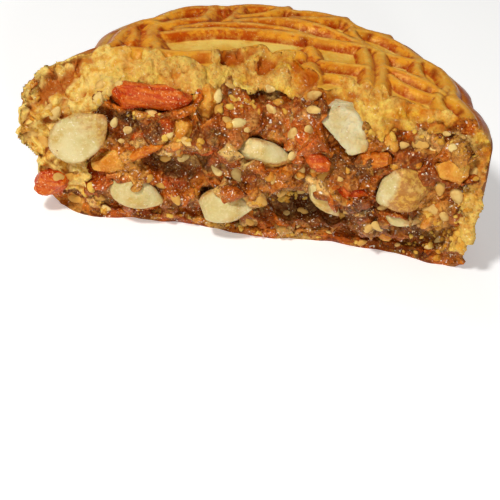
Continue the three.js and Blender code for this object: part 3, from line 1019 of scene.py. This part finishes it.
def chopped(points):
    """Chopped bits all over: their colour, how proud they stand and the height of their relief."""
    x, _, z = points.T
    warp = np.stack([rough(points, 3, 71 + 5 * k, 3) for k in range(3)], 1)
    warped = points + warp
    bit, gap, _, own = crumbs(warped * (0.75, 1, 1.25), 3.0, 81)
    grain, _, _, own_grain = crumbs(warped, 1.1, 91)
    draw = scramble(own, 85)
    tint = np.zeros((len(points), 3))
    proud = np.zeros(len(points))
    start = 0.0
    for share, colour, stand in BITS:
        pick = (draw >= start) & (draw <= start + share)
        tint[pick] = paint(*colour)
        proud[pick] = stand
        start += share
    for px, pz, half_length, half_height, turn, colour, stand in PATCHES:
        u, v = seen_from(x, z, px, pz, turn)
        share = smooth(1.15, 0.8, np.hypot(u / half_length, v / half_height) + 0.25 * warp[:, 0])
        tint += (share * 0.85)[:, None] * (np.array(paint(*colour)) - tint)
        proud += share * 0.7 * (stand - proud)
    slab, lip = layers(points + 0.4 * warp, 7.5, 111, 0.9)
    crumbly = lip * smooth(-0.2, 0.4, rough(points, 5, 115, 2))
    tint += (0.5 * crumbly)[:, None] * (np.array(paint(232, 176, 88)) - tint)
    edge = smooth(0.0, 0.25, gap)
    # Painted shade between the bits, each darker at its borders; tone also differs from grain to
    # grain, and all grows darker towards the right.
    light = 0.82 + 0.18 * edge + 0.4 * (scramble(own_grain, 95) - 0.5) - 0.16 * smooth(6, 24, x)
    tint *= light[:, None]
    height = (
        0.6 * (proud * edge * (1 - bit**2) - 0.3)
        + slab
        + 0.25 * (0.5 - grain)
        + 0.4 * rough(points, 1.9, 101, 3)
    )
    return np.clip(tint, 0, 1), proud, height


def set_in_share(row, x, z):
    """How far across a set-in piece a place is: 1 at its edge, and the distance from there."""
    _, length, width, _, px, pz, _, turn, _ = row
    u, v = seen_from(x, z, px, pz, turn)
    share = np.hypot(u / (length / 2), v / (width / 2))
    return share, (share - 1) * min(length, width) / 2


# The side on which paste lies over a piece: direction in degrees, and how high.
COVERED = {
    "kernel_low_left": (105, 3.0), "kernel_low_middle": (78, 3.8), "kernel_middle": (-100, 3.0),
    "kernel_buried": (60, 2.4), "kernel_under": (90, 2.2), "kernel_right": (-20, 0.9),
    "amber_nut_left": (-60, 1.8), "red_middle": (100, 2.2), "red_right": (-80, 2.0),
    "orange_fruit": (-160, 2.6), "nut_right": (90, 2.2), "amber_nut_middle": (-90, 1.8),
    "red_corner": (60, 1.4), "orange_strip": (-150, 1.2),
}


def collar(points):
    """Paste that climbs up round what is set in it."""
    x, _, z = points.T
    height = np.zeros(len(points))
    under = np.zeros(len(points))
    waves = 0.75 + 0.5 * rough(points, 2.6, 131, 2)
    for row in KERNELS + [MELON] + CANDIED + ORANGE + NUTS:
        name, _, width, _, px, pz, _, _, _ = row
        share, away = set_in_share(row, x, z)
        height = np.maximum(height, np.exp(-((np.maximum(away, 0) / 1.5) ** 2)))
        direction, amount = COVERED.get(name, (0, 0))
        side = seen_from(x, z, px, pz, direction)[0] / (width / 2)
        over = smooth(0.0, 0.75, side + 0.3 * rough(points, 2, 137, 2)) * smooth(1.7, 1.0, share)
        height = np.maximum(height, amount * over)
        under = np.maximum(under, smooth(1.0, 0.8, share) * (1 - over * min(1, amount)))
    return height * waves * (1 - under), under


def pastry():
    """The baked shell, with its break and the room for the filling."""
    skin = outer_body(TOP_CELLS)
    carve(skin, broken_block("torn", torn_surface, TORN_STEP), "INTERSECT")
    carve(skin, drum("room", 0.0), "DIFFERENCE")
    mesh = skin.data
    clean_cut(mesh)
    points = points_of(mesh)
    x, y, z = points.T
    torn = (np.abs(y - torn_surface(x, z)) < 0.1).astype(float)
    radius = np.hypot(x, y)
    wall = smooth(30.5, 28, z) * (1 - torn)
    rim = smooth(35, 40.5, radius) * (1 - torn) * (1 - wall)
    rim = np.maximum(rim, wall * np.maximum(smooth(20, 29, z), 0.7 * smooth(6, 0.5, z)))
    ridge, crease, close = strands_at(x, y)
    ridge *= z > RELIEF_FROM
    crease *= z > RELIEF_FROM

    room = np.hypot(x - CAVITY["x"], y)
    to_room = np.maximum(np.maximum(CAVITY["low"] - z, z - CAVITY["high"]), room - CAVITY["radius"])
    inner = (to_room < 1.3) & (torn < 0.5) & (radius < 41)
    behind = y - torn_surface(x, z)
    near = smooth(2.6, 0.2, behind) * (1 - torn) * (z > RELIEF_FROM)
    ragged = y + 4 * rough(points, 7, 155, 3)
    left = smooth(12, 4, ragged) * smooth(-30, -42, x) * smooth(0.3, 3, z)
    loose = smooth(-0.3, 0.4, rough(points, 6, 17, 2)) + smooth(1.6, 0.2, to_room) + left
    loose = np.clip(loose, 0, 1)
    low = smooth(7, 3, z)
    end = smooth(30, 36, x)
    reach = np.maximum(np.maximum(low, (0.9 - 0.5 * smooth(37, 39, x)) * end), 0.35)
    far = to_room * (1 - 0.8 * low) * (1 - 0.5 * end)
    smear = torn * reach * smooth(3.0, 0.6, far + 1.5 * rough(points, 3.2, 19, 2))

    lump, lump_gap, _, _ = crumbs(points + 0.8 * rough(points, 2.2, 5, 2)[:, None], 4.0, 21)
    small, _, _, _ = crumbs(points + 0.4 * rough(points, 1.4, 7, 2)[:, None], 2.0, 27)
    grain, _, _, _ = crumbs(points, 1.2, 31)
    hole, _, _, own_hole = crumbs(points, 3.6, 37)
    holes = smooth(0.4, 0.05, hole) * (scramble(own_hole, 39) < 0.4)
    slab, lip = layers(points, 9, 41, 1.0)
    flake, flake_lip = layers(points, 3.4, 161, 0.4)
    planes = slab + 0.6 * facets(points, 6.5, 45, 0.2) + 0.3 * facets(points, 2.4, 51, 0.3) + flake
    clumps = 1.9 * (0.6 - lump) * (0.15 + 0.85 * left) - 0.5 * left * smooth(0.2, 0, lump_gap)
    clumps += (0.4 + 0.6 * loose) * (0.6 - small)
    height = planes * (1 - 0.6 * left) + clumps - 1.1 * holes + 0.5 * loose * (0.5 - grain)
    height += 0.18 * rough(points, 0.9, 61, 2) - DRAWN_IN * left
    depth = floor_z(x, y) + STRAND_HEIGHT * ridge - z
    height *= 0.25 + 0.75 * smooth(0, 1.6, depth)
    tint, _, bits = chopped(points)
    height += smear * (0.8 * bits + 0.5 * collar(points)[0] - height)
    craggy = np.maximum(torn, 0.8 * left) * smooth(0.1, 2.0, z)
    even = 0.2 * rough(points, 7, 71, 2) + 0.05 * rough(points, 1.8, 81, 2)
    offset = np.where(inner, 0, craggy * height + (1 - craggy) * even * smooth(0, 0.5, z))
    points = points + normals_of(mesh) * offset[:, None]
    points[:, 2] = np.maximum(points[:, 2], 0)
    move_points(mesh, points)
    crumbly = np.maximum(torn, left)
    stands = height + DRAWN_IN * left
    # Pale crumb where it is loose and along the lips of the layers, and a painted highlight that
    # makes the raised parts lighter.
    pale = 0.25 * loose + 0.6 * lip + 0.4 * flake_lip + 0.8 * smooth(0.0, 1.4, stands)
    toast = smooth(2.8, 0.3, depth) * smooth(-0.3, 0.3, rough(points, 3.6, 151, 3))
    notes = {
        "torn": np.maximum(np.maximum(torn, inner), 0.75 * left),
        "ridge": ridge, "crease": crease, "close": close, "near": near, "wall": wall, "rim": rim,
        "loose": np.clip(pale, 0, 1),
        "toast": crumbly * toast,
        "smear": np.maximum(smear, inner),
        "shade": wall * smooth(28, 38, x) * (0.62 + 0.3 * smooth(18, 26, z)),
        # painted shade: the low places of the broken crust darker
        "hollow_shade": np.clip(0.15 - 0.65 * stands, 0, 1) * crumbly * (1 - 0.6 * smear),
    }
    for name, values in notes.items():
        note(mesh, name, values)
    note_colour(mesh, "tint", tint)
    return settle(skin, pastry_finish(), "pastry", "pastry")


def filling():
    """The sticky mass that runs through the shell."""
    body = drum("filling_core", -0.15)
    block = broken_block("torn_filling", filling_y, FILLING_STEP, (-40, 44), (0, 32))
    carve(body, block, "INTERSECT")
    mesh = body.data
    clean_cut(mesh)
    points = points_of(mesh)
    x, y, z = points.T
    face = np.abs(y - filling_y(x, z)) < 0.06
    tint, proud, height = chopped(points)
    inside = np.minimum(CAVITY["radius"] - np.hypot(x - CAVITY["x"], y), CAVITY["high"] - z)
    height += 1.1 * smooth(4, 0.5, inside) * (0.5 + 0.6 * rough(points, 4, 117, 2))
    climb, under = collar(points)
    height += climb - under * (1.2 + np.maximum(height, 0))
    deep = less_lumps(np.zeros(len(points)), x, z)
    points = points + normals_of(mesh) * (height * face)[:, None]
    points[:, 2] = np.maximum(points[:, 2], 0.3)
    move_points(mesh, points)
    note_colour(mesh, "tint", tint)
    note(mesh, "wet", 1 - proud)
    # painted shade: darker in the hollows and low places of the face
    note(mesh, "hollow_shade", np.clip(smooth(1.0, 3.6, deep) * 0.7 + smooth(0.2, -0.9, height) * 0.5, 0, 1))
    return settle(body, filling_finish(), "filling", "filling")


def pod(length, width, thickness, girth, square=1.0, around=64, rings=44):
    """A ball drawn out along X, with girth(t) from -1 to 1. A small square makes it boxy."""
    ring_angle = np.linspace(0, math.pi, rings + 1)[1:-1]
    turn = np.linspace(0, 2 * math.pi, around, endpoint=False)
    t, a = (g.ravel() for g in np.meshgrid(-np.cos(ring_angle), turn, indexing="ij"))
    size = np.sqrt(1 - t * t) * girth(t)
    side = np.sign(np.sin(a)) * np.abs(np.sin(a)) ** square
    up = np.sign(np.cos(a)) * np.abs(np.cos(a)) ** square
    points = np.stack([t * length / 2, size * side * thickness / 2, size * up * width / 2], 1)
    points = np.concatenate([points, [(-length / 2, 0, 0), (length / 2, 0, 0)]])
    faces = [tuple(f) for f in grid_faces(around, rings - 1, 0, wrap=True)]
    faces += end_caps(around, rings - 1, len(points))
    return points, [f[::-1] for f in faces]


def trim(points, half, cuts, keep, salt):
    """Cuts flats off a lump in seeded directions, each keeping that share of its reach."""
    draw = np.random.default_rng(salt)
    for _ in range(cuts):
        n = draw.normal(size=3)
        n /= np.linalg.norm(n)
        reach = keep * np.linalg.norm(n * half)
        over = np.maximum(0, points @ n - reach)
        points = points - over[:, None] * n
    return points


def wear(points, salt, dent, size=3.2):
    """Uneven surface: broad dents and fine roughness."""
    away = points / np.maximum(np.linalg.norm(points, axis=1, keepdims=True), 1e-6)
    height = rough(points + 17.3 * salt, size, salt, 3)
    height = height + 0.3 * rough(points + 9.1 * salt, size / 4, salt + 50, 2)
    return points + away * (dent * height)[:, None]


def seat(points, x, z, proud, turn, tip):
    """Turns a piece in the plane of the face and seats it in the filling."""
    spin = Euler((math.radians(tip), 0, 0)).to_matrix()
    flat = Euler((0, -math.radians(turn), 0)).to_matrix()
    y = float(filling_y(np.array([float(x)]), np.array([float(z)]))[0]) - proud
    return points @ np.array(flat @ spin).T + np.array([x, y, z])


def kernel_girth(t):
    """A drop: broad at one end and drawn in at the other."""
    return (1 - 0.2 * t) * (1 - 0.3 * smooth(0.35, 1, t))


def blunt_girth(t):
    """Nearly the same thickness all along, with blunt ends."""
    return np.minimum(1.25, 1 / np.sqrt(1.0001 - t * t))


# The side of a kernel that is stained by syrup: direction in degrees, how much, and from how far
# across, in half widths.
STAINED = {
    "kernel_right": (-15, 0.9, -0.7), "kernel_middle": (-80, 0.9, -0.1),
    "kernel_left": (48, 0.45, 0.0), "kernel_buried": (0, 0.5, -0.3), "kernel_under": (0, 0.6, -0.4),
}


def stain_of(row, points):
    """How far syrup has got into a set-in piece: round its edge, and over one side."""
    name, _, width, _, px, pz, _, _, _ = row
    x, _, z = points.T
    share, _ = set_in_share(row, x, z)
    direction, amount, start = STAINED.get(name, (0, 0, 0))
    side = seen_from(x, z, px, pz, direction)[0] / (width / 2)
    return smooth(0.75, 1.15, share) * 0.8 + amount * smooth(start, start + 0.6, side)


def set_in(row, girth, material, slot, square, cuts, keep, dent, salt):
    """A kernel, a candied piece or a nut in its seat."""
    name, length, width, thickness, x, z, proud, turn, tip = row
    points, faces = pod(length, width, thickness, girth, square)
    points = trim(points, np.array([length, thickness, width]) / 2, cuts, keep, salt)
    if slot == "kernel":  # a flat front, flattest on the large one
        points[:, 1] = np.maximum(points[:, 1], (-0.32 if length > 13 else -0.44) * thickness)
    points = seat(wear(points, salt, dent), x, z, proud, turn, tip)
    piece = make_object(name + "_look", points, faces)
    note(piece.data, "stain", stain_of(row, points))
    return settle(piece, material, slot, name)


# Corners of the melon cube's front, from its middle: x and z.
MELON_CORNERS = [(-2.1, 2.9), (-4.8, 0.7), (2.4, -4.6), (5.5, -2.6), (5.1, -0.3), (2.1, 2.8)]


def melon():
    """A candied cube with flat sides and a flat front that leans back with the break."""
    name, _, _, thickness, x, z, proud, _, _ = MELON
    corners = np.array([(x + dx, z + dz) for dx, dz in MELON_CORNERS])
    front = filling_y(corners[:, 0], corners[:, 1]) - proud - 1.3
    n = len(corners)
    points = [
        (cx, y + depth, cz) for depth in (0, thickness) for (cx, cz), y in zip(corners, front)
    ]
    faces = [tuple(range(n)), tuple(range(2 * n - 1, n - 1, -1))]
    faces += [((i + 1) % n, i, n + i, n + (i + 1) % n) for i in range(n)]
    piece = make_object(name + "_look", points, faces)
    edge = piece.modifiers.new("edge", "BEVEL")
    edge.width = 0.55 * MM
    edge.segments = 2
    cells = piece.modifiers.new("cells", "REMESH")
    cells.mode = "VOXEL"
    cells.voxel_size = 0.2 * MM
    apply_modifiers(piece)
    mesh = piece.data
    mesh.polygons.foreach_set("use_smooth", [True] * len(mesh.polygons))
    points = points_of(mesh)
    dents = 0.3 * facets(points, 4.5, 141, 0.3) + 0.08 * rough(points, 1.2, 145, 2)
    move_points(mesh, points + normals_of(mesh) * dents[:, None])
    note(mesh, "stain", stain_of(MELON, points_of(mesh)))
    return settle(piece, melon_finish(), "candied_melon", name)


# ------------------------------------------------------------------------------------ strewn bits

# Sesame seeds as they show in the plane of the face: x, z, turn, share of full size.
SEEDS = [
    (-34.5, 28.0, 80, 1.1), (-31.0, 23.2, 75, 0.9), (-28.2, 22.0, 40, 1.1), (-20.3, 16.9, 20, 0.9),
    (-16.8, 17.6, 20, 0.9), (-11.6, 32.6, 75, 1.0), (-11.3, 29.2, -40, 1.1), (-7.0, 27.3, 30, 1.1),
    (-5.3, 25.8, 50, 0.8), (-9.5, 35.0, 0, 0.8), (-7.5, 32.5, 0, 0.6), (-5.8, 15.3, -60, 1.2),
    (-17.3, 7.6, -60, 1.1), (-37.5, 4.3, -10, 1.3), (-35.0, 1.8, -30, 1.2), (-31.3, 2.8, 0, 0.8),
    (-34.0, 31.5, 70, 1.0), (-30.8, 32.0, 30, 0.7), (-46.5, 18.0, 0, 1.0), (-44.5, 17.0, -60, 1.1),
    (-44.0, 24.0, 80, 1.0), (-42.5, 23.5, 70, 1.2), (-41.0, 8.7, 10, 1.0), (-39.0, 9.0, 60, 0.9),
    (-38.5, 12.0, 90, 1.0), (-2.0, 35.8, 10, 1.0), (6.5, 35.8, 30, 1.1), (6.8, 32.5, 15, 1.2),
    (6.8, 28.0, -40, 1.0), (3.7, 26.5, 80, 1.2), (28.2, 28.5, 10, 1.3), (25.0, 27.8, 20, 0.9),
    (31.0, 27.8, 0, 0.6), (34.8, 28.7, -35, 1.0), (32.8, 31.8, 0, 0.6), (33.8, 19.3, -80, 1.2),
    (37.5, 18.0, -60, 1.3), (39.5, 24.0, 80, 0.9), (33.3, 13.9, -20, 1.4), (36.0, 12.8, -50, 1.2),
    (23.3, 8.2, -40, 1.0), (21.5, 7.5, 60, 0.8), (6.8, 13.8, 0, 0.9), (3.5, 13.0, 10, 0.9),
    (6.3, 18.0, 70, 1.0), (8.9, 19.2, 40, 0.7), (4.9, 8.0, 80, 1.0), (14.0, 5.2, 10, 0.6),
    (16.2, 9.7, 0, 0.7), (36.0, 7.0, 80, 1.1), (28.0, 4.7, 0, 0.5), (8.0, 5.4, 0, 0.6),
    (20.9, 4.0, 30, 0.8),
]

# Clusters of crumbs: x, z, half length, half height, how many.
CRUMB_PATCHES = [
    (-17.0, 21.2, 4.2, 0.8, 12), (-0.6, 9.4, 1.8, 0.6, 9), (2.6, 11.6, 2.2, 0.6, 11),
    (6.2, 12.9, 2.0, 0.5, 7), (30.0, 6.2, 3.2, 1.4, 6), (-38.0, 9.5, 3.6, 2.6, 10),
    (33.6, 14.0, 1.8, 3.4, 9), (36.4, 8.0, 2.6, 4.0, 16),
    (-24.0, 26.0, 5.0, 1.2, 8), (-45.0, 20.0, 2.0, 7.0, 16), (39.5, 14.0, 1.6, 6.0, 12),
    (0.0, 3.0, 34.0, 1.0, 46), (-8.0, 31.0, 4.0, 2.0, 12), (20.0, 29.0, 4.0, 1.4, 12),
]

# Nut bits with a place of their own: x and z.
SET_BITS = [(6.3, 17.7), (9.1, 18.7)]


class Sight:
    """Finds where a line of sight through the plane of the face meets what is already there."""

    def __init__(self, pieces):
        points, faces, self.owner = [], [], []
        for piece in pieces:
            start = len(points)
            points += [tuple(p) for p in points_of(piece.data)]
            faces += [tuple(start + v for v in polygon.vertices) for polygon in piece.data.polygons]
            self.owner += [piece.name] * len(piece.data.polygons)
        self.tree = BVHTree.FromPolygons(points, faces)
        self.eye = Vector(camera_place())

    def meet(self, x, z):
        """The place, a softened normal and the piece's name."""
        aim = Vector((x, FACE_Y, z)) - self.eye
        place, normal, index, _ = self.tree.ray_cast(self.eye, aim.normalized())
        if place is None:
            return None
        return place, (normal + Vector((0, -1, 0.15))).normalized(), self.owner[index]


def lie(normal, turn, lean):
    """How a flat bit lies on a surface: its length along turn, its thickness outwards."""
    length = Vector((math.cos(turn), 0, math.sin(turn)))
    length = (length - normal * length.dot(normal)).normalized()
    length = (length + normal * math.tan(lean)).normalized()
    across = length.cross(normal).normalized()
    outward = across.cross(length)
    return Matrix((length, outward, across)).transposed().to_euler()


def strewing():
    """Geometry Nodes: a small lump on every point, each a little different."""
    tree = bpy.data.node_groups.new("strewn", "GeometryNodeTree")
    inputs = {"Geometry": "Geometry", "Length": "Float", "Width": "Float", "Thickness": "Float"}
    inputs.update({"Pointed": "Float", "Lumpy": "Float", "Grain": "Float", "Seed": "Float"})
    inputs.update({"Detail": "Int", "Material": "Material"})
    for name, kind in inputs.items():
        tree.interface.new_socket(name, in_out="INPUT", socket_type="NodeSocket" + kind)
    tree.interface.new_socket("Geometry", in_out="OUTPUT", socket_type="NodeSocketGeometry")
    g = Graph(tree)
    given = tree.nodes.new("NodeGroupInput")
    take = {name: Wire(g, given.outputs[name]) for name in inputs}

    def stored(name, kind):
        return g.make("GeometryNodeInputNamedAttribute", {"data_type": kind}, {"Name": name})

    ball = g.make("GeometryNodeMeshIcoSphere", None, {"Subdivisions": take["Detail"]})
    split = tree.nodes.new("ShaderNodeSeparateXYZ")
    g.set(split, {0: g.make("GeometryNodeInputPosition")})
    x, y, z = (Wire(g, socket) for socket in split.outputs)
    taper = 1 - take["Pointed"] * x
    drawn = g.make("ShaderNodeCombineXYZ", None, {
        0: x * take["Length"] * 0.5,
        1: y * take["Thickness"] * taper * 0.5,
        2: z * take["Width"] * taper * 0.5,
    })
    lump = g.make("GeometryNodeSetPosition", None, {"Geometry": ball, "Position": drawn})
    spots = g.make("GeometryNodeMeshToPoints", None, {"Mesh": take["Geometry"]})
    strewn = g.make("GeometryNodeInstanceOnPoints", None, {
        "Points": spots, "Instance": lump,
        "Rotation": stored("turn", "FLOAT_VECTOR"), "Scale": stored("size", "FLOAT_VECTOR"),
    })
    mesh = g.make("GeometryNodeRealizeInstances", None, {"Geometry": strewn})
    values = {"W": take["Seed"], "Scale": take["Grain"], "Detail": 2.0}
    noise = g.make("ShaderNodeTexNoise", {"noise_dimensions": "4D"}, values)
    out = (noise - 0.5) * take["Lumpy"]
    push = {0: g.make("GeometryNodeInputNormal"), "Scale": out}
    push = g.make("ShaderNodeVectorMath", {"operation": "SCALE"}, push)
    mesh = g.make("GeometryNodeSetPosition", None, {"Geometry": mesh, "Offset": push})
    mesh = g.make("GeometryNodeSetShadeSmooth", None, {"Geometry": mesh})
    mesh = g.make("GeometryNodeSetMaterial", None, {"Geometry": mesh, "Material": take["Material"]})
    g.set(tree.nodes.new("NodeGroupOutput"), {"Geometry": mesh})
    return tree


def strew(name, tree, spots, material, slot, *, shape, pointed, lumpy, grain, detail):
    """One mesh of many small bits, with the place, turn, size and tone of each in spots.

    shape: length, width and thickness. lumpy and grain: height and spacing of the lumps.
    """
    length, width, thickness = shape
    mesh = bpy.data.meshes.new(name)
    mesh.from_pydata([tuple(place * MM) for place, _, _, _ in spots], [], [])
    turns = mesh.attributes.new("turn", "FLOAT_VECTOR", "POINT")
    turns.data.foreach_set("vector", [v for _, turn, _, _ in spots for v in turn])
    sizes = mesh.attributes.new("size", "FLOAT_VECTOR", "POINT")
    sizes.data.foreach_set("vector", [v for _, _, size, _ in spots for v in size])
    note(mesh, "tone", [tone for _, _, _, tone in spots])
    piece = bpy.data.objects.new(name, mesh)
    bpy.context.scene.collection.objects.link(piece)
    modifier = piece.modifiers.new("strewn", "NODES")
    modifier.node_group = tree
    values = {
        "Length": length * MM, "Width": width * MM, "Thickness": thickness * MM, "Pointed": pointed,
        "Lumpy": lumpy * MM, "Grain": 1 / (grain * MM), "Seed": float(len(spots)), "Detail": detail,
        "Material": material,
    }
    for socket in tree.interface.items_tree:
        if socket.in_out == "INPUT" and socket.name in values:
            modifier[socket.identifier] = values[socket.name]
    apply_modifiers(piece)
    return settle(piece, material, slot)


def sesame(sight, tree):
    """The seeds: first those with a place of their own."""
    draw = np.random.default_rng(5)
    spots = []

    def add(x, z, turn, share, allowed=None):
        met = sight.meet(x, z)
        if met is None or (allowed and met[2] not in allowed):
            return
        place, normal, _ = met
        if allowed and any((place - spot[0]).length < SEED_GAP for spot in spots):
            return
        size = share * draw.uniform(0.88, 1.06)
        euler = lie(normal, math.radians(turn), math.radians(draw.uniform(-22, 22)))
        place = place + normal * (draw.uniform(-0.5, 0.15) * size)
        if place.z > SEED_FLOOR:
            spots.append((place, euler, (size, size, size), draw.uniform(0, 1)))

    for row in SEEDS:
        add(*row)
    for _ in range(SEED_TRIES):
        x, z = draw.uniform(*STREWN_X), draw.uniform(*STREWN_Z)
        turn, share = draw.uniform(0, 360), draw.uniform(0.75, 1.05)
        if len(spots) < SEED_COUNT:
            add(x, z, turn, share, ("filling_core",))
    strew(
        "sesame_seeds", tree, spots, seed_finish(), "filling",
        shape=(3.0, 1.8, 1.1), pointed=0.3, lumpy=0.12, grain=1.1, detail=3,
    )


def crumb_heaps(sight, tree):
    """Crumbs in their clusters and along the hem of the pastry."""
    draw = np.random.default_rng(9)
    spots = []
    inner, middle = CAVITY["radius"], (CAVITY["low"] + CAVITY["high"]) / 2
    corner = CAVITY["corner"]
    hem = []
    for turn in np.linspace(0, 2 * math.pi, 60, endpoint=False):
        x = CAVITY["x"] + (inner - corner) * np.sign(math.cos(turn)) * abs(math.cos(turn)) ** 0.2
        x += corner * math.cos(turn)
        z = middle + middle * np.sign(math.sin(turn)) * abs(math.sin(turn)) ** 0.35
        hem.append((x, z, 1.8, 0.9, 1))
    for px, pz, half_length, half_height, count in CRUMB_PATCHES + hem:
        for _ in range(count):
            x = px + draw.uniform(-1, 1) * half_length
            z = pz + draw.uniform(-1, 1) * half_height
            met = sight.meet(x, z)
            size = draw.uniform(0.35, 1.0) * draw.uniform(0.5, 1, size=3)
            turn, tone = draw.uniform(0, 6.28), draw.uniform(0, 1)
            if met is None:
                continue
            place, normal, owner = met
            if owner.startswith(("kernel", "melon", "red")) or place.z < CRUMB_FLOOR:
                continue
            spots.append((place - normal * 0.05, lie(normal, turn, 0), tuple(size), tone))
    strew(
        "crumbs", tree, spots, crumb_finish(), "pastry",
        shape=(2.2, 1.7, 1.2), pointed=0.1, lumpy=1.7, grain=0.9, detail=2,
    )


def nut_bits(sight, tree):
    """Small bits of nut that lie on the filling."""
    draw = np.random.default_rng(12)
    spots = []
    for _ in range(BIT_TRIES):
        x, z = draw.uniform(*STREWN_X), draw.uniform(*STREWN_Z)
        turn, tone = draw.uniform(0, 360), draw.uniform(0, 1)
        size = draw.uniform(0.45, 1.0) * draw.uniform(0.6, 1, size=3)
        met = sight.meet(x, z)
        if len(spots) >= BIT_COUNT or met is None or met[2] != "filling_core":
            continue
        place, normal, _ = met
        if all((place - spot[0]).length > BIT_GAP for spot in spots):
            euler = lie(normal, math.radians(turn), math.radians(draw.uniform(-20, 20)))
            spots.append((place - normal * 0.3, euler, tuple(size), tone))
    for x, z in SET_BITS:
        place, normal, _ = sight.meet(x, z)
        spots.append((place, lie(normal, 0, 0), (0.46, 0.85, 0.66), 0.2))
    strew(
        "nut_bits", tree, spots, nut_finish("nut_bit"), "amber_nut",
        shape=(4.2, 2.8, 2.0), pointed=0.15, lumpy=1.1, grain=1.3, detail=3,
    )


# ------------------------------------------------------------------------------------ the studio


def studio():
    """A pale floor and three lamps."""
    scene = bpy.context.scene
    world = bpy.data.worlds.new("studio")
    world.use_nodes = True
    background = world.node_tree.nodes["Background"]
    background.inputs["Color"].default_value = (1.0, 0.99, 0.97, 1)
    background.inputs["Strength"].default_value = 0.17
    scene.world = world
    scene.view_settings.view_transform = "Standard"

    def lamp(name, place, size, power):
        data = bpy.data.lights.new(name, "AREA")
        data.shape = "DISK"
        data.size = size
        data.energy = power
        light = bpy.data.objects.new(name, data)
        light.location = place
        aim = Vector((0, 0.01, 0.015)) - Vector(place)
        light.rotation_euler = aim.to_track_quat("-Z", "Y").to_euler()
        scene.collection.objects.link(light)

    lamp("key", (-0.2, -0.26, 0.5), 0.08, 2.3)
    lamp("fill", (0.1, -0.55, 0.22), 0.06, 0.6)
    lamp("back", (-0.1, 0.3, 0.5), 0.2, 0.2)

    r = Recipe("pale_floor")
    cloud = r.noise(60, 2)
    r.finish(
        r.blend(cloud, paint(252, 252, 250), paint(249, 249, 247)), 0.7, cloud, 0.01,
        Emission_Color=(1, 1, 1, 1), Emission_Strength=0.3,
    )
    reach = 900
    points = [(-reach, -reach, 0), (reach, -reach, 0), (reach, reach, 0), (-reach, reach, 0)]
    floor = make_object("floor", points, [(0, 1, 2, 3)])
    floor.data.materials.append(r.material)


def cake():
    pieces = [pastry(), filling()]
    kernel_look = kernel_finish()
    for salt, row in enumerate(KERNELS, 1):
        pieces.append(set_in(
            row, kernel_girth, kernel_look, "kernel",
            square=0.85, cuts=3, keep=0.9, dent=0.14, salt=salt,
        ))
    pieces.append(melon())
    red = candied_finish("candied_red", (188, 40, 1), (220, 98, 12), (250, 182, 100))
    orange = candied_finish("candied_orange", (192, 80, 6), (216, 118, 20), (242, 178, 76))
    groups = [
        (CANDIED, red, "candied_red", 0.8, 7, 0.5, 21),
        (ORANGE, orange, "candied_orange", 0.85, 6, 0.36, 31),
        (NUTS, nut_finish(), "amber_nut", 0.85, 7, 0.4, 41),
    ]
    for rows, look, slot, square, cuts, dent, first_salt in groups:
        for salt, row in enumerate(rows, first_salt):
            pieces.append(set_in(
                row, blunt_girth, look, slot,
                square=square, cuts=cuts, keep=0.84, dent=dent, salt=salt,
            ))
    sight = Sight(pieces)
    tree = strewing()
    sesame(sight, tree)
    crumb_heaps(sight, tree)
    nut_bits(sight, tree)


cake()
studio()
